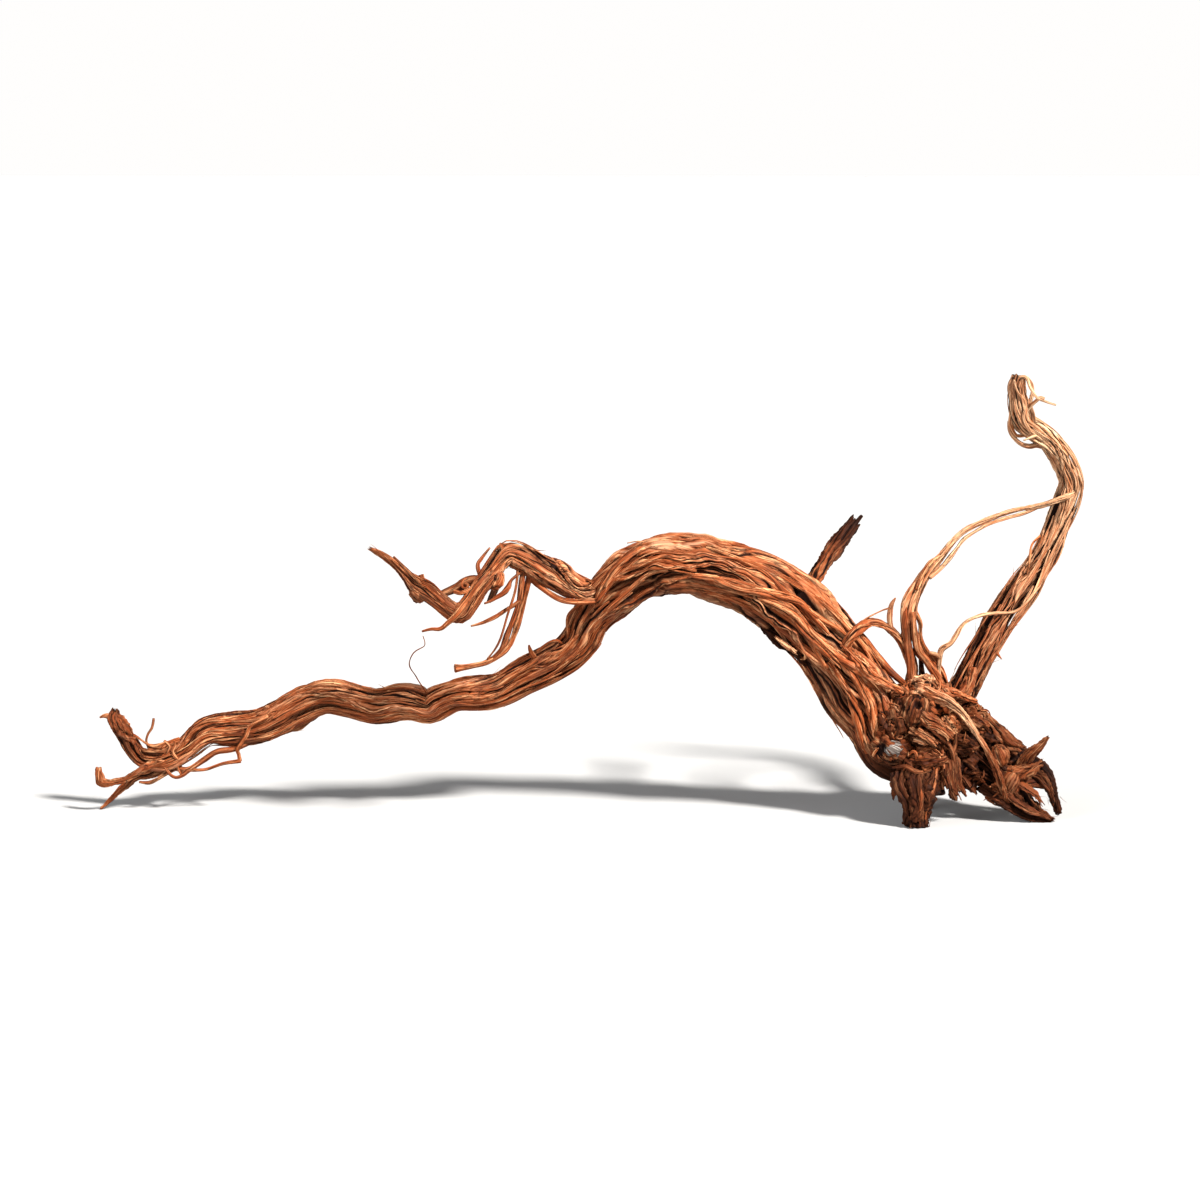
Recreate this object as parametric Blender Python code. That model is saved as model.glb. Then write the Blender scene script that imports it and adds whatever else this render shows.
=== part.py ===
"""A spiderwood root, as sold for aquariums and terrariums: one piece of grown wood, about half a metre long.

A thick rope-like trunk rises from a broken stump, arches over and trails away to a split tail. An upright
branch, a bent left branch, a dark stub and many thin rootlets grow from it. Everything is one solid.
"""

import math
import random

import bmesh
import bpy
from mathutils import Matrix, Vector, noise

MM = 0.001

# The shape is sketched from one viewpoint, in front of the root and a little above it. A row of a table
# is a place in that sketch, in millimetres: across to the right, up, depth behind the front foot, radius.
VIEW_DISTANCE = 1600.0
VIEW_TILT = math.radians(8.0)
VIEW_CENTRE = (6.0, 114.0)

# Moves the middle of the finished box over the origin, in millimetres.
REST_SHIFT = Vector((-0.76, -18.07, 0.0))

# The trunk, from inside the stump over the arch to the broken stub at the end of the tail.
TRUNK = [
    (168.5, 31.5, 28, 17.0), (152.5, 45.0, 28, 20.5), (139.0, 62.0, 25, 19.0), (128.0, 80.0, 21, 18.0),
    (115.0, 97.0, 17, 18.0), (101.0, 111.0, 13, 18.0), (84.5, 122.0, 10, 16.7), (67.0, 128.0, 8, 15.5),
    (51.0, 131.2, 8, 15.2), (36.5, 132.0, 10, 14.5), (23.5, 126.0, 13, 13.2), (9.5, 114.5, 17, 12.8),
    (1.5, 104.5, 20, 10.5), (-2.5, 96.0, 23, 10.0), (-10.5, 87.2, 26, 9.4), (-21.0, 81.0, 29, 9.4),
    (-33.0, 75.0, 31, 8.9), (-44.0, 69.0, 33, 8.6), (-55.0, 67.0, 35, 8.7), (-66.0, 66.0, 36, 8.0),
    (-74.0, 63.0, 37, 8.6), (-79.0, 60.0, 38, 8.0), (-87.5, 62.0, 39, 8.3), (-94.5, 62.5, 40, 8.6),
    (-106.5, 61.0, 41, 9.0), (-119.0, 63.7, 42, 8.8), (-131.5, 65.0, 43, 8.6), (-145.5, 60.0, 43, 9.2),
    (-161.5, 51.5, 44, 8.2), (-176.5, 49.0, 44, 8.2), (-190.0, 48.0, 44, 7.5), (-200.0, 40.5, 44, 6.8),
    (-209.0, 35.5, 44, 7.0), (-216.5, 33.5, 44, 5.8), (-223.0, 34.5, 44, 5.2), (-228.0, 39.5, 43, 4.8),
    (-231.5, 46.0, 42, 4.4), (-235.0, 53.0, 41, 4.3), (-237.5, 58.5, 40, 4.1),
]

# The branch that leaves the arch to the left, folds down and up again, and ends in a frayed point.
LEFT_BRANCH = [
    (27.0, 129.0, 4, 5.5), (13.5, 120.0, 2, 6.0), (2.0, 118.0, 1, 6.2), (-6.5, 121.0, -2, 6.8),
    (-16.0, 125.5, -5, 6.8), (-25.0, 130.5, -8, 7.0), (-33.5, 135.5, -11, 7.0), (-40.0, 137.5, -13, 6.3),
    (-44.5, 133.5, -15, 5.3), (-49.5, 126.5, -17, 5.0), (-54.0, 120.5, -19, 4.7), (-59.5, 112.0, -21, 4.7),
    (-64.0, 107.0, -22, 5.0), (-69.0, 109.0, -22, 4.7), (-74.5, 113.5, -21, 4.5), (-80.0, 118.0, -19, 5.0),
    (-86.0, 121.5, -17, 4.6), (-90.5, 126.0, -15, 3.0), (-95.0, 130.5, -13, 2.1), (-100.5, 135.0, -11, 1.7),
    (-105.5, 138.0, -9, 1.3), (-108.5, 139.5, -8, 0.8),
]

# The branch that stands up at the right and hooks over at its head.
UPRIGHT = [
    (178.5, 53.0, 34, 7.5), (186.0, 68.0, 38, 7.5), (192.0, 80.0, 41, 7.8), (199.0, 91.5, 44, 7.8),
    (206.0, 103.0, 47, 7.8), (213.0, 113.0, 50, 8.2), (219.0, 121.5, 52, 8.2), (224.5, 130.5, 54, 6.8),
    (230.0, 141.5, 55, 6.3), (235.0, 153.0, 56, 6.3), (239.5, 164.5, 56, 6.8), (242.0, 173.0, 55, 6.1),
    (238.0, 183.5, 53, 6.0), (231.5, 192.5, 50, 5.7), (224.0, 198.5, 47, 5.7), (218.0, 203.5, 45, 6.0),
    (215.5, 211.5, 43, 5.9), (215.5, 219.0, 42, 5.6), (216.5, 224.5, 41, 4.2),
]

# The dark stub behind the arch.
BACK_STUB = [
    (106.0, 114.0, 20, 4.5), (114.5, 127.5, 38, 4.5), (120.5, 137.5, 48, 4.5), (127.0, 145.5, 56, 4.3),
    (132.0, 152.0, 61, 3.7),
]

# The bark-covered root over the right of the stump, which ends in a claw.
CLAW_ROOT = [
    (188.0, 63.0, 38, 5.5), (196.5, 54.0, 38, 4.9), (203.3, 48.5, 36, 4.7), (208.4, 44.0, 34, 4.6),
    (213.5, 38.5, 31, 4.4), (219.0, 32.5, 28, 4.0), (225.0, 28.0, 26, 3.5), (230.5, 21.0, 24, 3.0),
    (233.6, 14.0, 22, 2.5), (236.0, 8.2, 21, 1.7),
]

# The right toe, the front foot and the rear foot that carry the stump.
TOE = [
    (179.0, 43.0, 30, 20.0), (190.0, 36.0, 28, 16.5), (200.0, 28.0, 26, 12.5), (209.5, 19.5, 23, 9.5),
    (218.5, 10.5, 20, 6.6), (226.0, 6.0, 18, 4.2), (232.5, 3.8, 17, 1.8),
]
FRONT_FOOT = [
    (167.0, 32.5, 16, 13.5), (165.0, 23.0, 10, 13.0), (164.2, 17.0, 7, 11.4), (165.0, 11.0, 5, 6.6),
    (164.3, 5.5, 4, 6.0), (164.2, -1.5, 3, 6.6),
]
REAR_FOOT = [
    (171.0, 34.0, 38, 10.0), (167.0, 21.0, 45, 6.5), (165.5, 13.5, 49, 5.0), (165.0, 8.5, 50, 4.8),
]

# The pale root that crosses the front of the stump from its top knob down to the toe.
PALE_ROOT = [
    (166.5, 69.0, 13, 4.4), (172.0, 67.5, 7, 4.4), (177.0, 64.8, 3, 3.4), (181.5, 62.5, 1, 2.6),
    (186.5, 58.0, 1, 2.3), (192.5, 50.0, 2, 2.2), (199.0, 39.5, 3, 2.1), (204.0, 28.5, 6, 1.9),
    (207.5, 19.0, 10, 1.7), (210.5, 12.0, 15, 1.5),
]

# The root that arches from the upright branch down to the top of the stump, and its two side strands.
ARCHING_ROOT = [
    (244.0, 168.0, 52, 1.6), (239.0, 165.5, 47, 1.8), (231.5, 163.0, 45, 1.7), (223.0, 160.7, 42, 1.6),
    (213.5, 158.0, 38, 1.7), (201.0, 152.2, 33, 1.9), (189.5, 146.0, 28, 2.1), (183.5, 138.5, 25, 2.3),
    (177.5, 132.5, 22, 2.6), (170.0, 127.5, 20, 3.0), (165.0, 120.0, 18, 3.6), (161.5, 112.5, 17, 4.1),
    (160.0, 105.5, 17, 4.1), (159.0, 97.5, 18, 3.4), (160.0, 90.0, 19, 3.1), (162.0, 82.0, 21, 3.1),
    (161.5, 73.0, 23, 3.2), (162.0, 62.0, 26, 3.2),
]
RIGHT_STRAND = [
    (162.0, 110.5, 18, 1.4), (166.0, 103.0, 21, 1.3), (166.5, 95.5, 23, 1.3), (168.0, 89.5, 25, 1.6),
    (172.5, 83.5, 28, 2.1), (176.3, 78.0, 30, 2.2), (178.7, 70.5, 32, 2.4), (180.0, 60.0, 33, 2.4),
]
INNER_STRAND = [
    (161.5, 107.0, 15, 1.4), (163.0, 100.5, 15, 1.4), (163.3, 93.5, 16, 1.4), (164.5, 87.7, 18, 1.4),
    (168.5, 84.0, 22, 1.4), (173.0, 80.0, 26, 1.4), (176.5, 75.5, 29, 1.2),
]
SIDE_ROOT = [
    (126.0, 88.0, 8, 2.6), (132.0, 96.0, 4, 2.9), (137.0, 101.0, 7, 2.8), (142.0, 103.2, 10, 2.4),
    (147.0, 102.0, 13, 2.3), (152.5, 98.5, 15, 2.3), (157.5, 91.5, 17, 2.4), (160.5, 84.0, 19, 2.2),
]

# Thin rootlets, each from inside what it grows from to its free tip.
ROOTLETS = {
    "zigzag": [
        (175.0, 73.0, 29, 1.3), (176.0, 84.0, 27, 1.2), (177.0, 89.0, 26, 1.5), (181.5, 92.0, 26, 1.3),
        (184.0, 95.7, 27, 1.3), (186.5, 100.3, 29, 1.1), (190.0, 103.8, 31, 1.0), (196.0, 106.5, 34, 0.9),
        (203.0, 107.2, 38, 0.8), (213.0, 108.6, 41, 0.8), (220.5, 114.0, 43, 0.8), (226.5, 123.0, 48, 0.8),
    ],
    "zigzag_side": [(176.0, 85.0, 27, 1.2), (173.5, 86.8, 24, 1.2), (170.5, 88.0, 22, 0.7)],
    "shadow_stub": [(168.0, 52.0, 30, 2.4), (167.0, 70.0, 31, 2.3), (167.0, 85.0, 30, 1.3)],
    "thorn": [(151.5, 100.0, 15, 1.4), (150.8, 105.0, 14, 1.4), (151.5, 111.5, 13, 1.2), (153.5, 115.2, 12, 0.5)],
    "thorn_twig": [(150.8, 110.0, 13.5, 0.6), (146.0, 108.5, 12, 0.5), (138.5, 104.5, 9, 0.5), (135.0, 101.0, 7, 0.5)],
    "hanging_main": [
        (-28.0, 131.0, -8, 2.0), (-30.0, 121.0, -7, 1.7), (-32.5, 112.0, -6, 1.6), (-37.0, 97.0, -6, 1.6),
        (-41.0, 88.8, -7, 1.6), (-50.0, 83.0, -9, 1.5), (-58.5, 80.8, -10, 1.4), (-63.5, 80.1, -11, 1.6),
        (-66.5, 79.9, -12, 2.1),
    ],
    "hanging_second": [
        (-32.5, 130.0, -11, 1.6), (-33.5, 117.0, -12, 1.5), (-36.7, 107.0, -12, 1.5), (-39.8, 97.0, -12, 1.4),
        (-43.0, 90.0, -11, 1.2), (-48.0, 84.5, -9, 1.0),
    ],
    "hanging_thin": [
        (-35.0, 131.0, -14, 0.9), (-36.8, 118.0, -16, 0.8), (-39.8, 107.0, -17, 0.8), (-43.5, 95.0, -15, 0.8),
        (-50.0, 84.5, -10, 0.8),
    ],
    "hanging_side": [(-34.0, 114.0, -12, 1.0), (-42.5, 107.5, -13, 0.9), (-51.0, 103.0, -17, 1.0), (-58.5, 101.2, -20, 0.6)],
    "knotted": [
        (-31.0, 130.0, -12, 1.1), (-38.5, 124.5, -16, 0.9), (-40.5, 120.0, -18, 1.7), (-43.5, 117.0, -19, 1.4),
        (-48.0, 114.0, -21, 0.9), (-52.0, 112.5, -22, 0.6),
    ],
    "behind_left": [(-44.0, 131.0, -12, 2.2), (-46.0, 120.0, -6, 1.7), (-49.5, 113.0, -3, 1.4)],
    "front_left": [
        (-45.0, 132.0, -17, 2.2), (-50.5, 125.5, -22, 2.2), (-55.5, 120.0, -25, 2.0), (-61.0, 112.5, -27, 1.9),
        (-65.5, 106.5, -28, 1.5), (-70.5, 102.5, -28, 1.1), (-74.0, 100.0, -27, 1.0), (-78.5, 99.7, -26, 0.9),
        (-83.0, 98.2, -25, 0.7),
    ],
    "twig_up": [(-53.0, 124.0, -18, 1.2), (-54.7, 131.0, -19, 1.0), (-53.0, 134.5, -18, 0.9), (-49.0, 140.2, -17, 0.7)],
    "cross": [
        (-78.0, 115.5, -20, 1.6), (-70.5, 117.6, -17.6, 1.8), (-66.0, 119.8, -16, 2.0), (-62.5, 122.0, -16, 2.5),
        (-58.0, 124.0, -17, 2.3), (-53.0, 124.5, -18, 1.8),
    ],
    "left_tip_side": [(-97.2, 135.7, -15, 0.6), (-91.5, 130.5, -18, 0.8), (-85.0, 124.0, -20, 0.9), (-81.0, 120.0, -20, 0.9)],
    "left_nub": [(-82.0, 120.0, -18, 2.2), (-84.0, 126.5, -17, 1.9)],
    "under_strand": [
        (-30.0, 126.5, -8, 1.5), (-22.5, 118.8, -6, 1.4), (-13.7, 114.0, -4, 1.5), (-5.0, 112.7, 1, 1.5), (4.0, 114.0, 8, 1.5),
    ],
    "apex_spur": [(-41.0, 137.0, -14, 1.6), (-44.0, 142.5, -15, 0.6)],
    "trunk_edge": [(0.5, 115.0, 12, 1.2), (-7.0, 109.5, 15, 1.0), (-10.6, 104.0, 18, 1.0), (-9.0, 94.5, 22, 1.2)],
    "hook": [
        (-209.0, 33.0, 42, 3.6), (-216.0, 31.0, 40, 2.9), (-223.0, 29.5, 38, 2.4), (-232.0, 24.8, 36, 2.0),
        (-238.0, 22.4, 35, 2.0), (-242.5, 22.6, 35, 2.1), (-244.5, 25.8, 34, 1.9), (-244.8, 30.0, 34, 1.6),
    ],
    "pointed": [
        (-208.0, 31.0, 45, 3.4), (-219.5, 27.5, 45, 3.0), (-226.5, 25.5, 45, 2.6), (-232.2, 21.3, 45, 2.1),
        (-235.0, 18.3, 45, 1.8), (-239.0, 13.6, 45, 1.4), (-243.5, 9.0, 45, 0.9),
    ],
    "under_tail": [(-203.0, 31.0, 42, 1.5), (-211.0, 28.6, 41, 1.5), (-218.0, 24.4, 40, 1.5), (-224.0, 23.0, 40, 1.2)],
    "tail_loop": [
        (-205.0, 34.0, 37, 1.1), (-203.5, 30.2, 36, 1.1), (-199.0, 27.3, 36, 1.2), (-193.0, 28.0, 36, 1.2),
        (-192.3, 32.5, 37, 1.1), (-195.0, 36.5, 38, 1.1),
    ],
    "tail_twig": [(-218.5, 38.0, 44, 0.8), (-220.2, 44.5, 44, 0.8), (-219.0, 47.8, 44, 0.7), (-216.7, 54.6, 43, 0.7)],
    "tail_free": [
        (-201.0, 33.5, 40, 2.2), (-191.0, 34.5, 38, 1.7), (-185.0, 38.0, 38, 1.6), (-176.0, 39.3, 39, 1.6), (-168.0, 43.0, 42, 1.6),
    ],
    "tail_thin": [(-198.0, 31.0, 39, 0.9), (-191.0, 29.5, 37, 0.8), (-182.0, 32.3, 36, 0.8), (-173.6, 33.8, 36, 1.2)],
    "tail_crossing": [
        (-160.0, 56.0, 35, 1.2), (-169.0, 51.2, 34, 1.0), (-171.5, 46.0, 34, 1.0), (-175.3, 39.5, 35, 1.0),
        (-174.5, 36.8, 36, 1.0), (-173.6, 33.5, 36, 1.2),
    ],
    "head_strand_left": [(219.0, 196.5, 46, 1.2), (214.0, 196.0, 45, 1.0), (210.8, 202.0, 44, 1.0), (211.5, 208.0, 43, 1.2)],
    "head_spike": [(212.0, 215.0, 42, 1.2), (211.2, 222.0, 41, 0.9), (212.5, 226.6, 41, 0.5)],
    "head_twig": [
        (215.0, 225.0, 40, 1.2), (219.3, 225.2, 38, 1.0), (222.0, 219.3, 36, 0.9), (224.8, 215.0, 35, 0.8),
        (229.0, 213.0, 35, 0.8), (234.0, 211.2, 34, 0.6),
    ],
    "head_twig_short": [(219.0, 209.0, 41, 1.6), (223.5, 213.0, 38, 1.3), (226.3, 215.0, 36, 1.1), (228.4, 214.7, 35, 0.7)],
    "head_thorn": [(225.0, 196.0, 44, 1.0), (222.0, 195.6, 40, 0.8), (217.8, 194.0, 38, 0.5)],
    "blade": [(210.0, 28.0, 27, 1.6), (216.5, 34.5, 24, 2.8), (222.0, 39.5, 22, 3.2), (227.0, 43.8, 20, 2.0), (230.2, 46.0, 19, 1.2)],
    "blade_splinter": [(217.0, 28.0, 25, 1.8), (222.0, 31.5, 22, 1.5), (226.5, 34.0, 20, 0.6)],
    "jagged_plate": [(179.0, 36.0, 17, 6.0), (181.5, 27.0, 12, 5.4), (183.6, 20.0, 10, 4.0), (186.5, 14.0, 9, 0.9)],
    "low_tooth": [(190.0, 34.0, 22, 4.0), (193.5, 24.0, 18, 3.0), (194.5, 17.0, 17, 0.8)],
}

# Lumps of the stump: across, up, depth, three half sizes, and how rough the lump is.
LUMPS = {
    "core": (168.5, 43.0, 27, 18.0, 22.0, 20.0, 0.12),
    "right_core": (187.0, 45.0, 32, 16.0, 17.0, 18.0, 0.16),
    "bark_mass": (154.5, 50.0, 13, 9.0, 8.5, 12.0, 0.30),
    "front_mass": (171.5, 47.0, 12, 12.5, 8.0, 13.5, 0.24),
    "top_knob": (169.5, 68.5, 17, 8.0, 9.0, 5.8, 0.26),
    "eye_knot": (164.0, 57.8, 9, 7.2, 6.0, 8.6, 0.16),
    "rough_knot": (171.0, 35.5, 9, 7.0, 6.0, 5.6, 0.30),
    "pale_nub": (152.6, 39.8, 8.5, 4.4, 3.8, 4.0, 0.12),
    "porous_knot": (182.0, 52.0, 11, 5.8, 5.0, 6.4, 0.28),
    "round_knot": (206.0, 35.5, 22, 5.4, 5.4, 5.6, 0.20),
    "oval_knot": (210.5, 23.5, 17, 6.4, 5.0, 6.0, 0.16),
    "ridge_knot": (195.0, 58.0, 33, 8.0, 8.0, 7.0, 0.28),
    "back_knot": (176.0, 52.0, 44, 12.0, 8.0, 12.0, 0.26),
    "back_bark": (196.0, 36.0, 45, 10.0, 7.0, 9.0, 0.26),
}

# Broken blocks of the stump: across, up, depth, half length, half width, half depth.
BLOCKS = {
    "large_chip": (176.5, 49.5, 6, 9.0, 4.4, 7.0),
    "small_chip": (170.5, 45.0, 4, 6.4, 2.6, 6.0),
    "left_chip": (161.5, 46.5, 7, 6.0, 2.6, 5.5),
    "back_chip": (160.0, 60.0, 43, 9.0, 3.4, 6.0),
}
BLOCK_SLOPE = math.radians(-38.0)

# The dark hollow under the pale root.
HOLLOW = (192.5, 33.0, 11, 6.5, 9.0, 8.5)

WOOD_COLOUR = (0.42, 0.17, 0.07, 1.0)
FLOOR_CUT = 12.0


def placed(across, up, depth):
    """The point, in millimetres, that the viewpoint sees at this place of the sketch, at this depth."""
    right = Vector((1.0, 0.0, 0.0))
    rise = Vector((0.0, math.sin(VIEW_TILT), math.cos(VIEW_TILT)))
    ahead = Vector((0.0, math.cos(VIEW_TILT), -math.sin(VIEW_TILT)))
    eye = right * VIEW_CENTRE[0] + rise * VIEW_CENTRE[1] - ahead * VIEW_DISTANCE
    ray = right * across + rise * up - eye
    return eye + ray * ((depth - eye.y) / ray.y) + REST_SHIFT


def smooth_path(rows, step):
    """Points at equal steps on a smooth curve through the rows, each with its radius."""
    knots = [(placed(*row[:3]), row[3]) for row in rows]
    fine = []
    for i in range(len(knots) - 1):
        before = knots[max(i - 1, 0)]
        after = knots[min(i + 2, len(knots) - 1)]
        for k in range(12):
            t = k / 12
            weights = (
                -0.5 * t + t * t - 0.5 * t**3,
                1.0 - 2.5 * t * t + 1.5 * t**3,
                0.5 * t + 2.0 * t * t - 1.5 * t**3,
                -0.5 * t * t + 0.5 * t**3,
            )
            four = (before, knots[i], knots[i + 1], after)
            point = sum((w * knot[0] for w, knot in zip(weights, four)), Vector())
            fine.append((point, sum(w * knot[1] for w, knot in zip(weights, four))))
    fine.append(knots[-1])
    lengths = [0.0]
    for (a, _), (b, _) in zip(fine, fine[1:]):
        lengths.append(lengths[-1] + (b - a).length)
    count = max(2, round(lengths[-1] / step))
    path, k = [], 0
    for i in range(count + 1):
        wanted = lengths[-1] * i / count
        while k < len(lengths) - 2 and lengths[k + 1] < wanted:
            k += 1
        share = (wanted - lengths[k]) / max(lengths[k + 1] - lengths[k], 1e-9)
        path.append((fine[k][0].lerp(fine[k + 1][0], share), fine[k][1] + share * (fine[k + 1][1] - fine[k][1])))
    return path, lengths[-1]


def moving_frames(points):
    """For each point, the direction ahead and two directions across, which turn as little as they can."""
    ahead = []
    for i in range(len(points)):
        ahead.append((points[min(i + 1, len(points) - 1)] - points[max(i - 1, 0)]).normalized())
    side = ahead[0].cross(Vector((0.0, 1.0, 0.1))).normalized()
    frames = []
    for direction in ahead:
        side = (side - direction * side.dot(direction)).normalized()
        frames.append((direction, side, direction.cross(side)))
    return frames


def slow_wave(rng, wavelength):
    """A smooth random wave between about -1 and 1 along a limb."""
    parts = [(rng.uniform(0.7, 1.6) * wavelength, rng.uniform(0, math.tau), a) for a in (0.6, 0.4)]
    return lambda s: sum(a * math.sin(math.tau * s / length + phase) for length, phase, a in parts)


def limb(name, rows, strands, step, groove=0.16, twist=0.0, wavelength=60.0, seed=0, shoulders=2, ragged=0.0):
    """A rope-like limb: a closed tube whose columns of points follow its strands and the grooves between them."""
    rng = random.Random(seed)
    path, _ = smooth_path(rows, step)
    frames = moving_frames([point for point, _ in path])
    drift = [slow_wave(rng, wavelength) for _ in range(strands)]
    swell = [slow_wave(rng, wavelength) for _ in range(strands)]
    depth = [slow_wave(rng, wavelength) for _ in range(strands)]
    bm = bmesh.new()
    rings, before = [], None
    for i, (centre, radius) in enumerate(path):
        s = i * step
        ahead, side, across = frames[i]
        centres = [math.tau * (j + 0.25 * drift[j](s)) / strands + twist * s for j in range(strands)]
        ring = []
        for j in range(strands):
            left = (centres[j - 1] - (math.tau if j == 0 else 0.0) + centres[j]) / 2
            right = (centres[j] + centres[(j + 1) % strands] + (math.tau if j == strands - 1 else 0.0)) / 2
            cut = groove * (1.0 + 0.7 * depth[j](s))
            ring.append((left, radius * (1.0 - cut)))
            for k in range(shoulders):
                share = (k + 1) / (shoulders + 1)
                share = 0.5 + (share - 0.5) * 1.25
                ring.append((left + (right - left) * share, radius * (1.0 + 0.07 * swell[j](s))))
        points = []
        for angle, distance in ring:
            point = centre + (side * math.cos(angle) + across * math.sin(angle)) * distance
            points.append(point)
        if before:
            for n, point in enumerate(points):
                gain = (point - before[n]).dot(ahead)
                if gain < 0.15 * step:
                    points[n] = point + ahead * (0.15 * step - gain)
        before = points
        rings.append(points)
    if ragged:
        ahead = frames[-1][0]
        rings[-1] = [p + ahead * ragged * rng.uniform(-0.4, 1.0) for p in rings[-1]]
    made = [[bm.verts.new(p * MM) for p in ring] for ring in rings]
    for first, second in zip(made, made[1:]):
        for n in range(len(first)):
            m = (n + 1) % len(first)
            bm.faces.new((first[n], first[m], second[m], second[n]))
    for ring, flip in ((made[0], True), (made[-1], False)):
        middle = bm.verts.new(sum((v.co for v in ring), Vector()) / len(ring))
        for n in range(len(ring)):
            m = (n + 1) % len(ring)
            bm.faces.new((ring[m], ring[n], middle) if flip else (ring[n], ring[m], middle))
    return closed_object(name, bm)


def closed_object(name, bm):
    """Turns the mesh's faces outwards and links it as an object."""
    bmesh.ops.recalc_face_normals(bm, faces=bm.faces)
    mesh = bpy.data.meshes.new(name)
    bm.to_mesh(mesh)
    bm.free()
    made = bpy.data.objects.new(name, mesh)
    bpy.context.scene.collection.objects.link(made)
    return made


def lump(name, place, detail=3):
    """A rough rounded lump of the stump."""
    across, up, depth, half_x, half_y, half_z, roughness = place
    centre = placed(across, up, depth)
    bm = bmesh.new()
    bmesh.ops.create_icosphere(bm, subdivisions=detail, radius=1.0)
    for v in bm.verts:
        direction = v.co.normalized()
        bump = noise.noise(direction * 1.9 + centre * 0.11) * 1.7
        bump += noise.noise(direction * 4.3 + centre * 0.17) * 1.1
        size = 1.0 + roughness * bump
        v.co = (centre + Vector((direction.x * half_x, direction.y * half_y, direction.z * half_z)) * size) * MM
    return closed_object(name, bm)


def block(name, place):
    """A broken chip of wood, slanted down to the right, with an uneven end."""
    across, up, depth, half_long, half_wide, half_deep = place
    turn = Matrix.Rotation(-BLOCK_SLOPE, 4, "Y")
    bm = bmesh.new()
    bmesh.ops.create_cube(bm, size=2.0)
    for v in bm.verts:
        uneven = 1.0 + 0.22 * noise.noise(v.co * 1.7 + Vector((across, up, depth)))
        v.co = Vector((v.co.x * half_long * uneven, v.co.y * half_deep, v.co.z * half_wide * uneven))
    bmesh.ops.transform(bm, matrix=turn, verts=bm.verts)
    bmesh.ops.bevel(bm, geom=bm.edges, offset=0.8, segments=1, affect="EDGES")
    bmesh.ops.translate(bm, vec=placed(across, up, depth), verts=bm.verts)
    bmesh.ops.scale(bm, vec=(MM, MM, MM), verts=bm.verts)
    bmesh.ops.triangulate(bm, faces=bm.faces)
    return closed_object(name, bm)


def combine(target, others, operation):
    """Joins to the target, or cuts from it, all the other objects in one Boolean, then removes them."""
    group = bpy.data.collections.new(operation.lower())
    bpy.context.scene.collection.children.link(group)
    for other in others:
        bpy.context.scene.collection.objects.unlink(other)
        group.objects.link(other)
    step = target.modifiers.new(operation.lower(), "BOOLEAN")
    step.operation = operation
    step.operand_type = "COLLECTION"
    step.collection = group
    step.solver = "EXACT"
    step.use_self = True
    bpy.context.view_layer.objects.active = target
    bpy.ops.object.modifier_apply(modifier=step.name)
    for other in others:
        bpy.data.objects.remove(other)
    bpy.data.collections.remove(group)


def keep_largest(target):
    """Removes the small closed pockets that a union leaves between lumps, and leaves only triangles."""
    bm = bmesh.new()
    bm.from_mesh(target.data)
    left, shells = set(bm.verts), []
    while left:
        shell, edge = set(), [left.pop()]
        while edge:
            v = edge.pop()
            shell.add(v)
            near = [e.other_vert(v) for e in v.link_edges]
            edge += [other for other in near if other in left]
            left.difference_update(near)
        shells.append(shell)
    shells.sort(key=len)
    for shell in shells[:-1]:
        bmesh.ops.delete(bm, geom=list(shell), context="VERTS")
    bmesh.ops.triangulate(bm, faces=bm.faces)
    bm.to_mesh(target.data)
    bm.free()


def wood_material():
    """Plain reddish-brown dry wood."""
    material = bpy.data.materials.new("spiderwood")
    material.use_nodes = True
    shader = material.node_tree.nodes["Principled BSDF"]
    shader.inputs["Base Color"].default_value = WOOD_COLOUR
    shader.inputs["Roughness"].default_value = 0.75
    shader.inputs["Metallic"].default_value = 0.0
    return material


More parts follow.
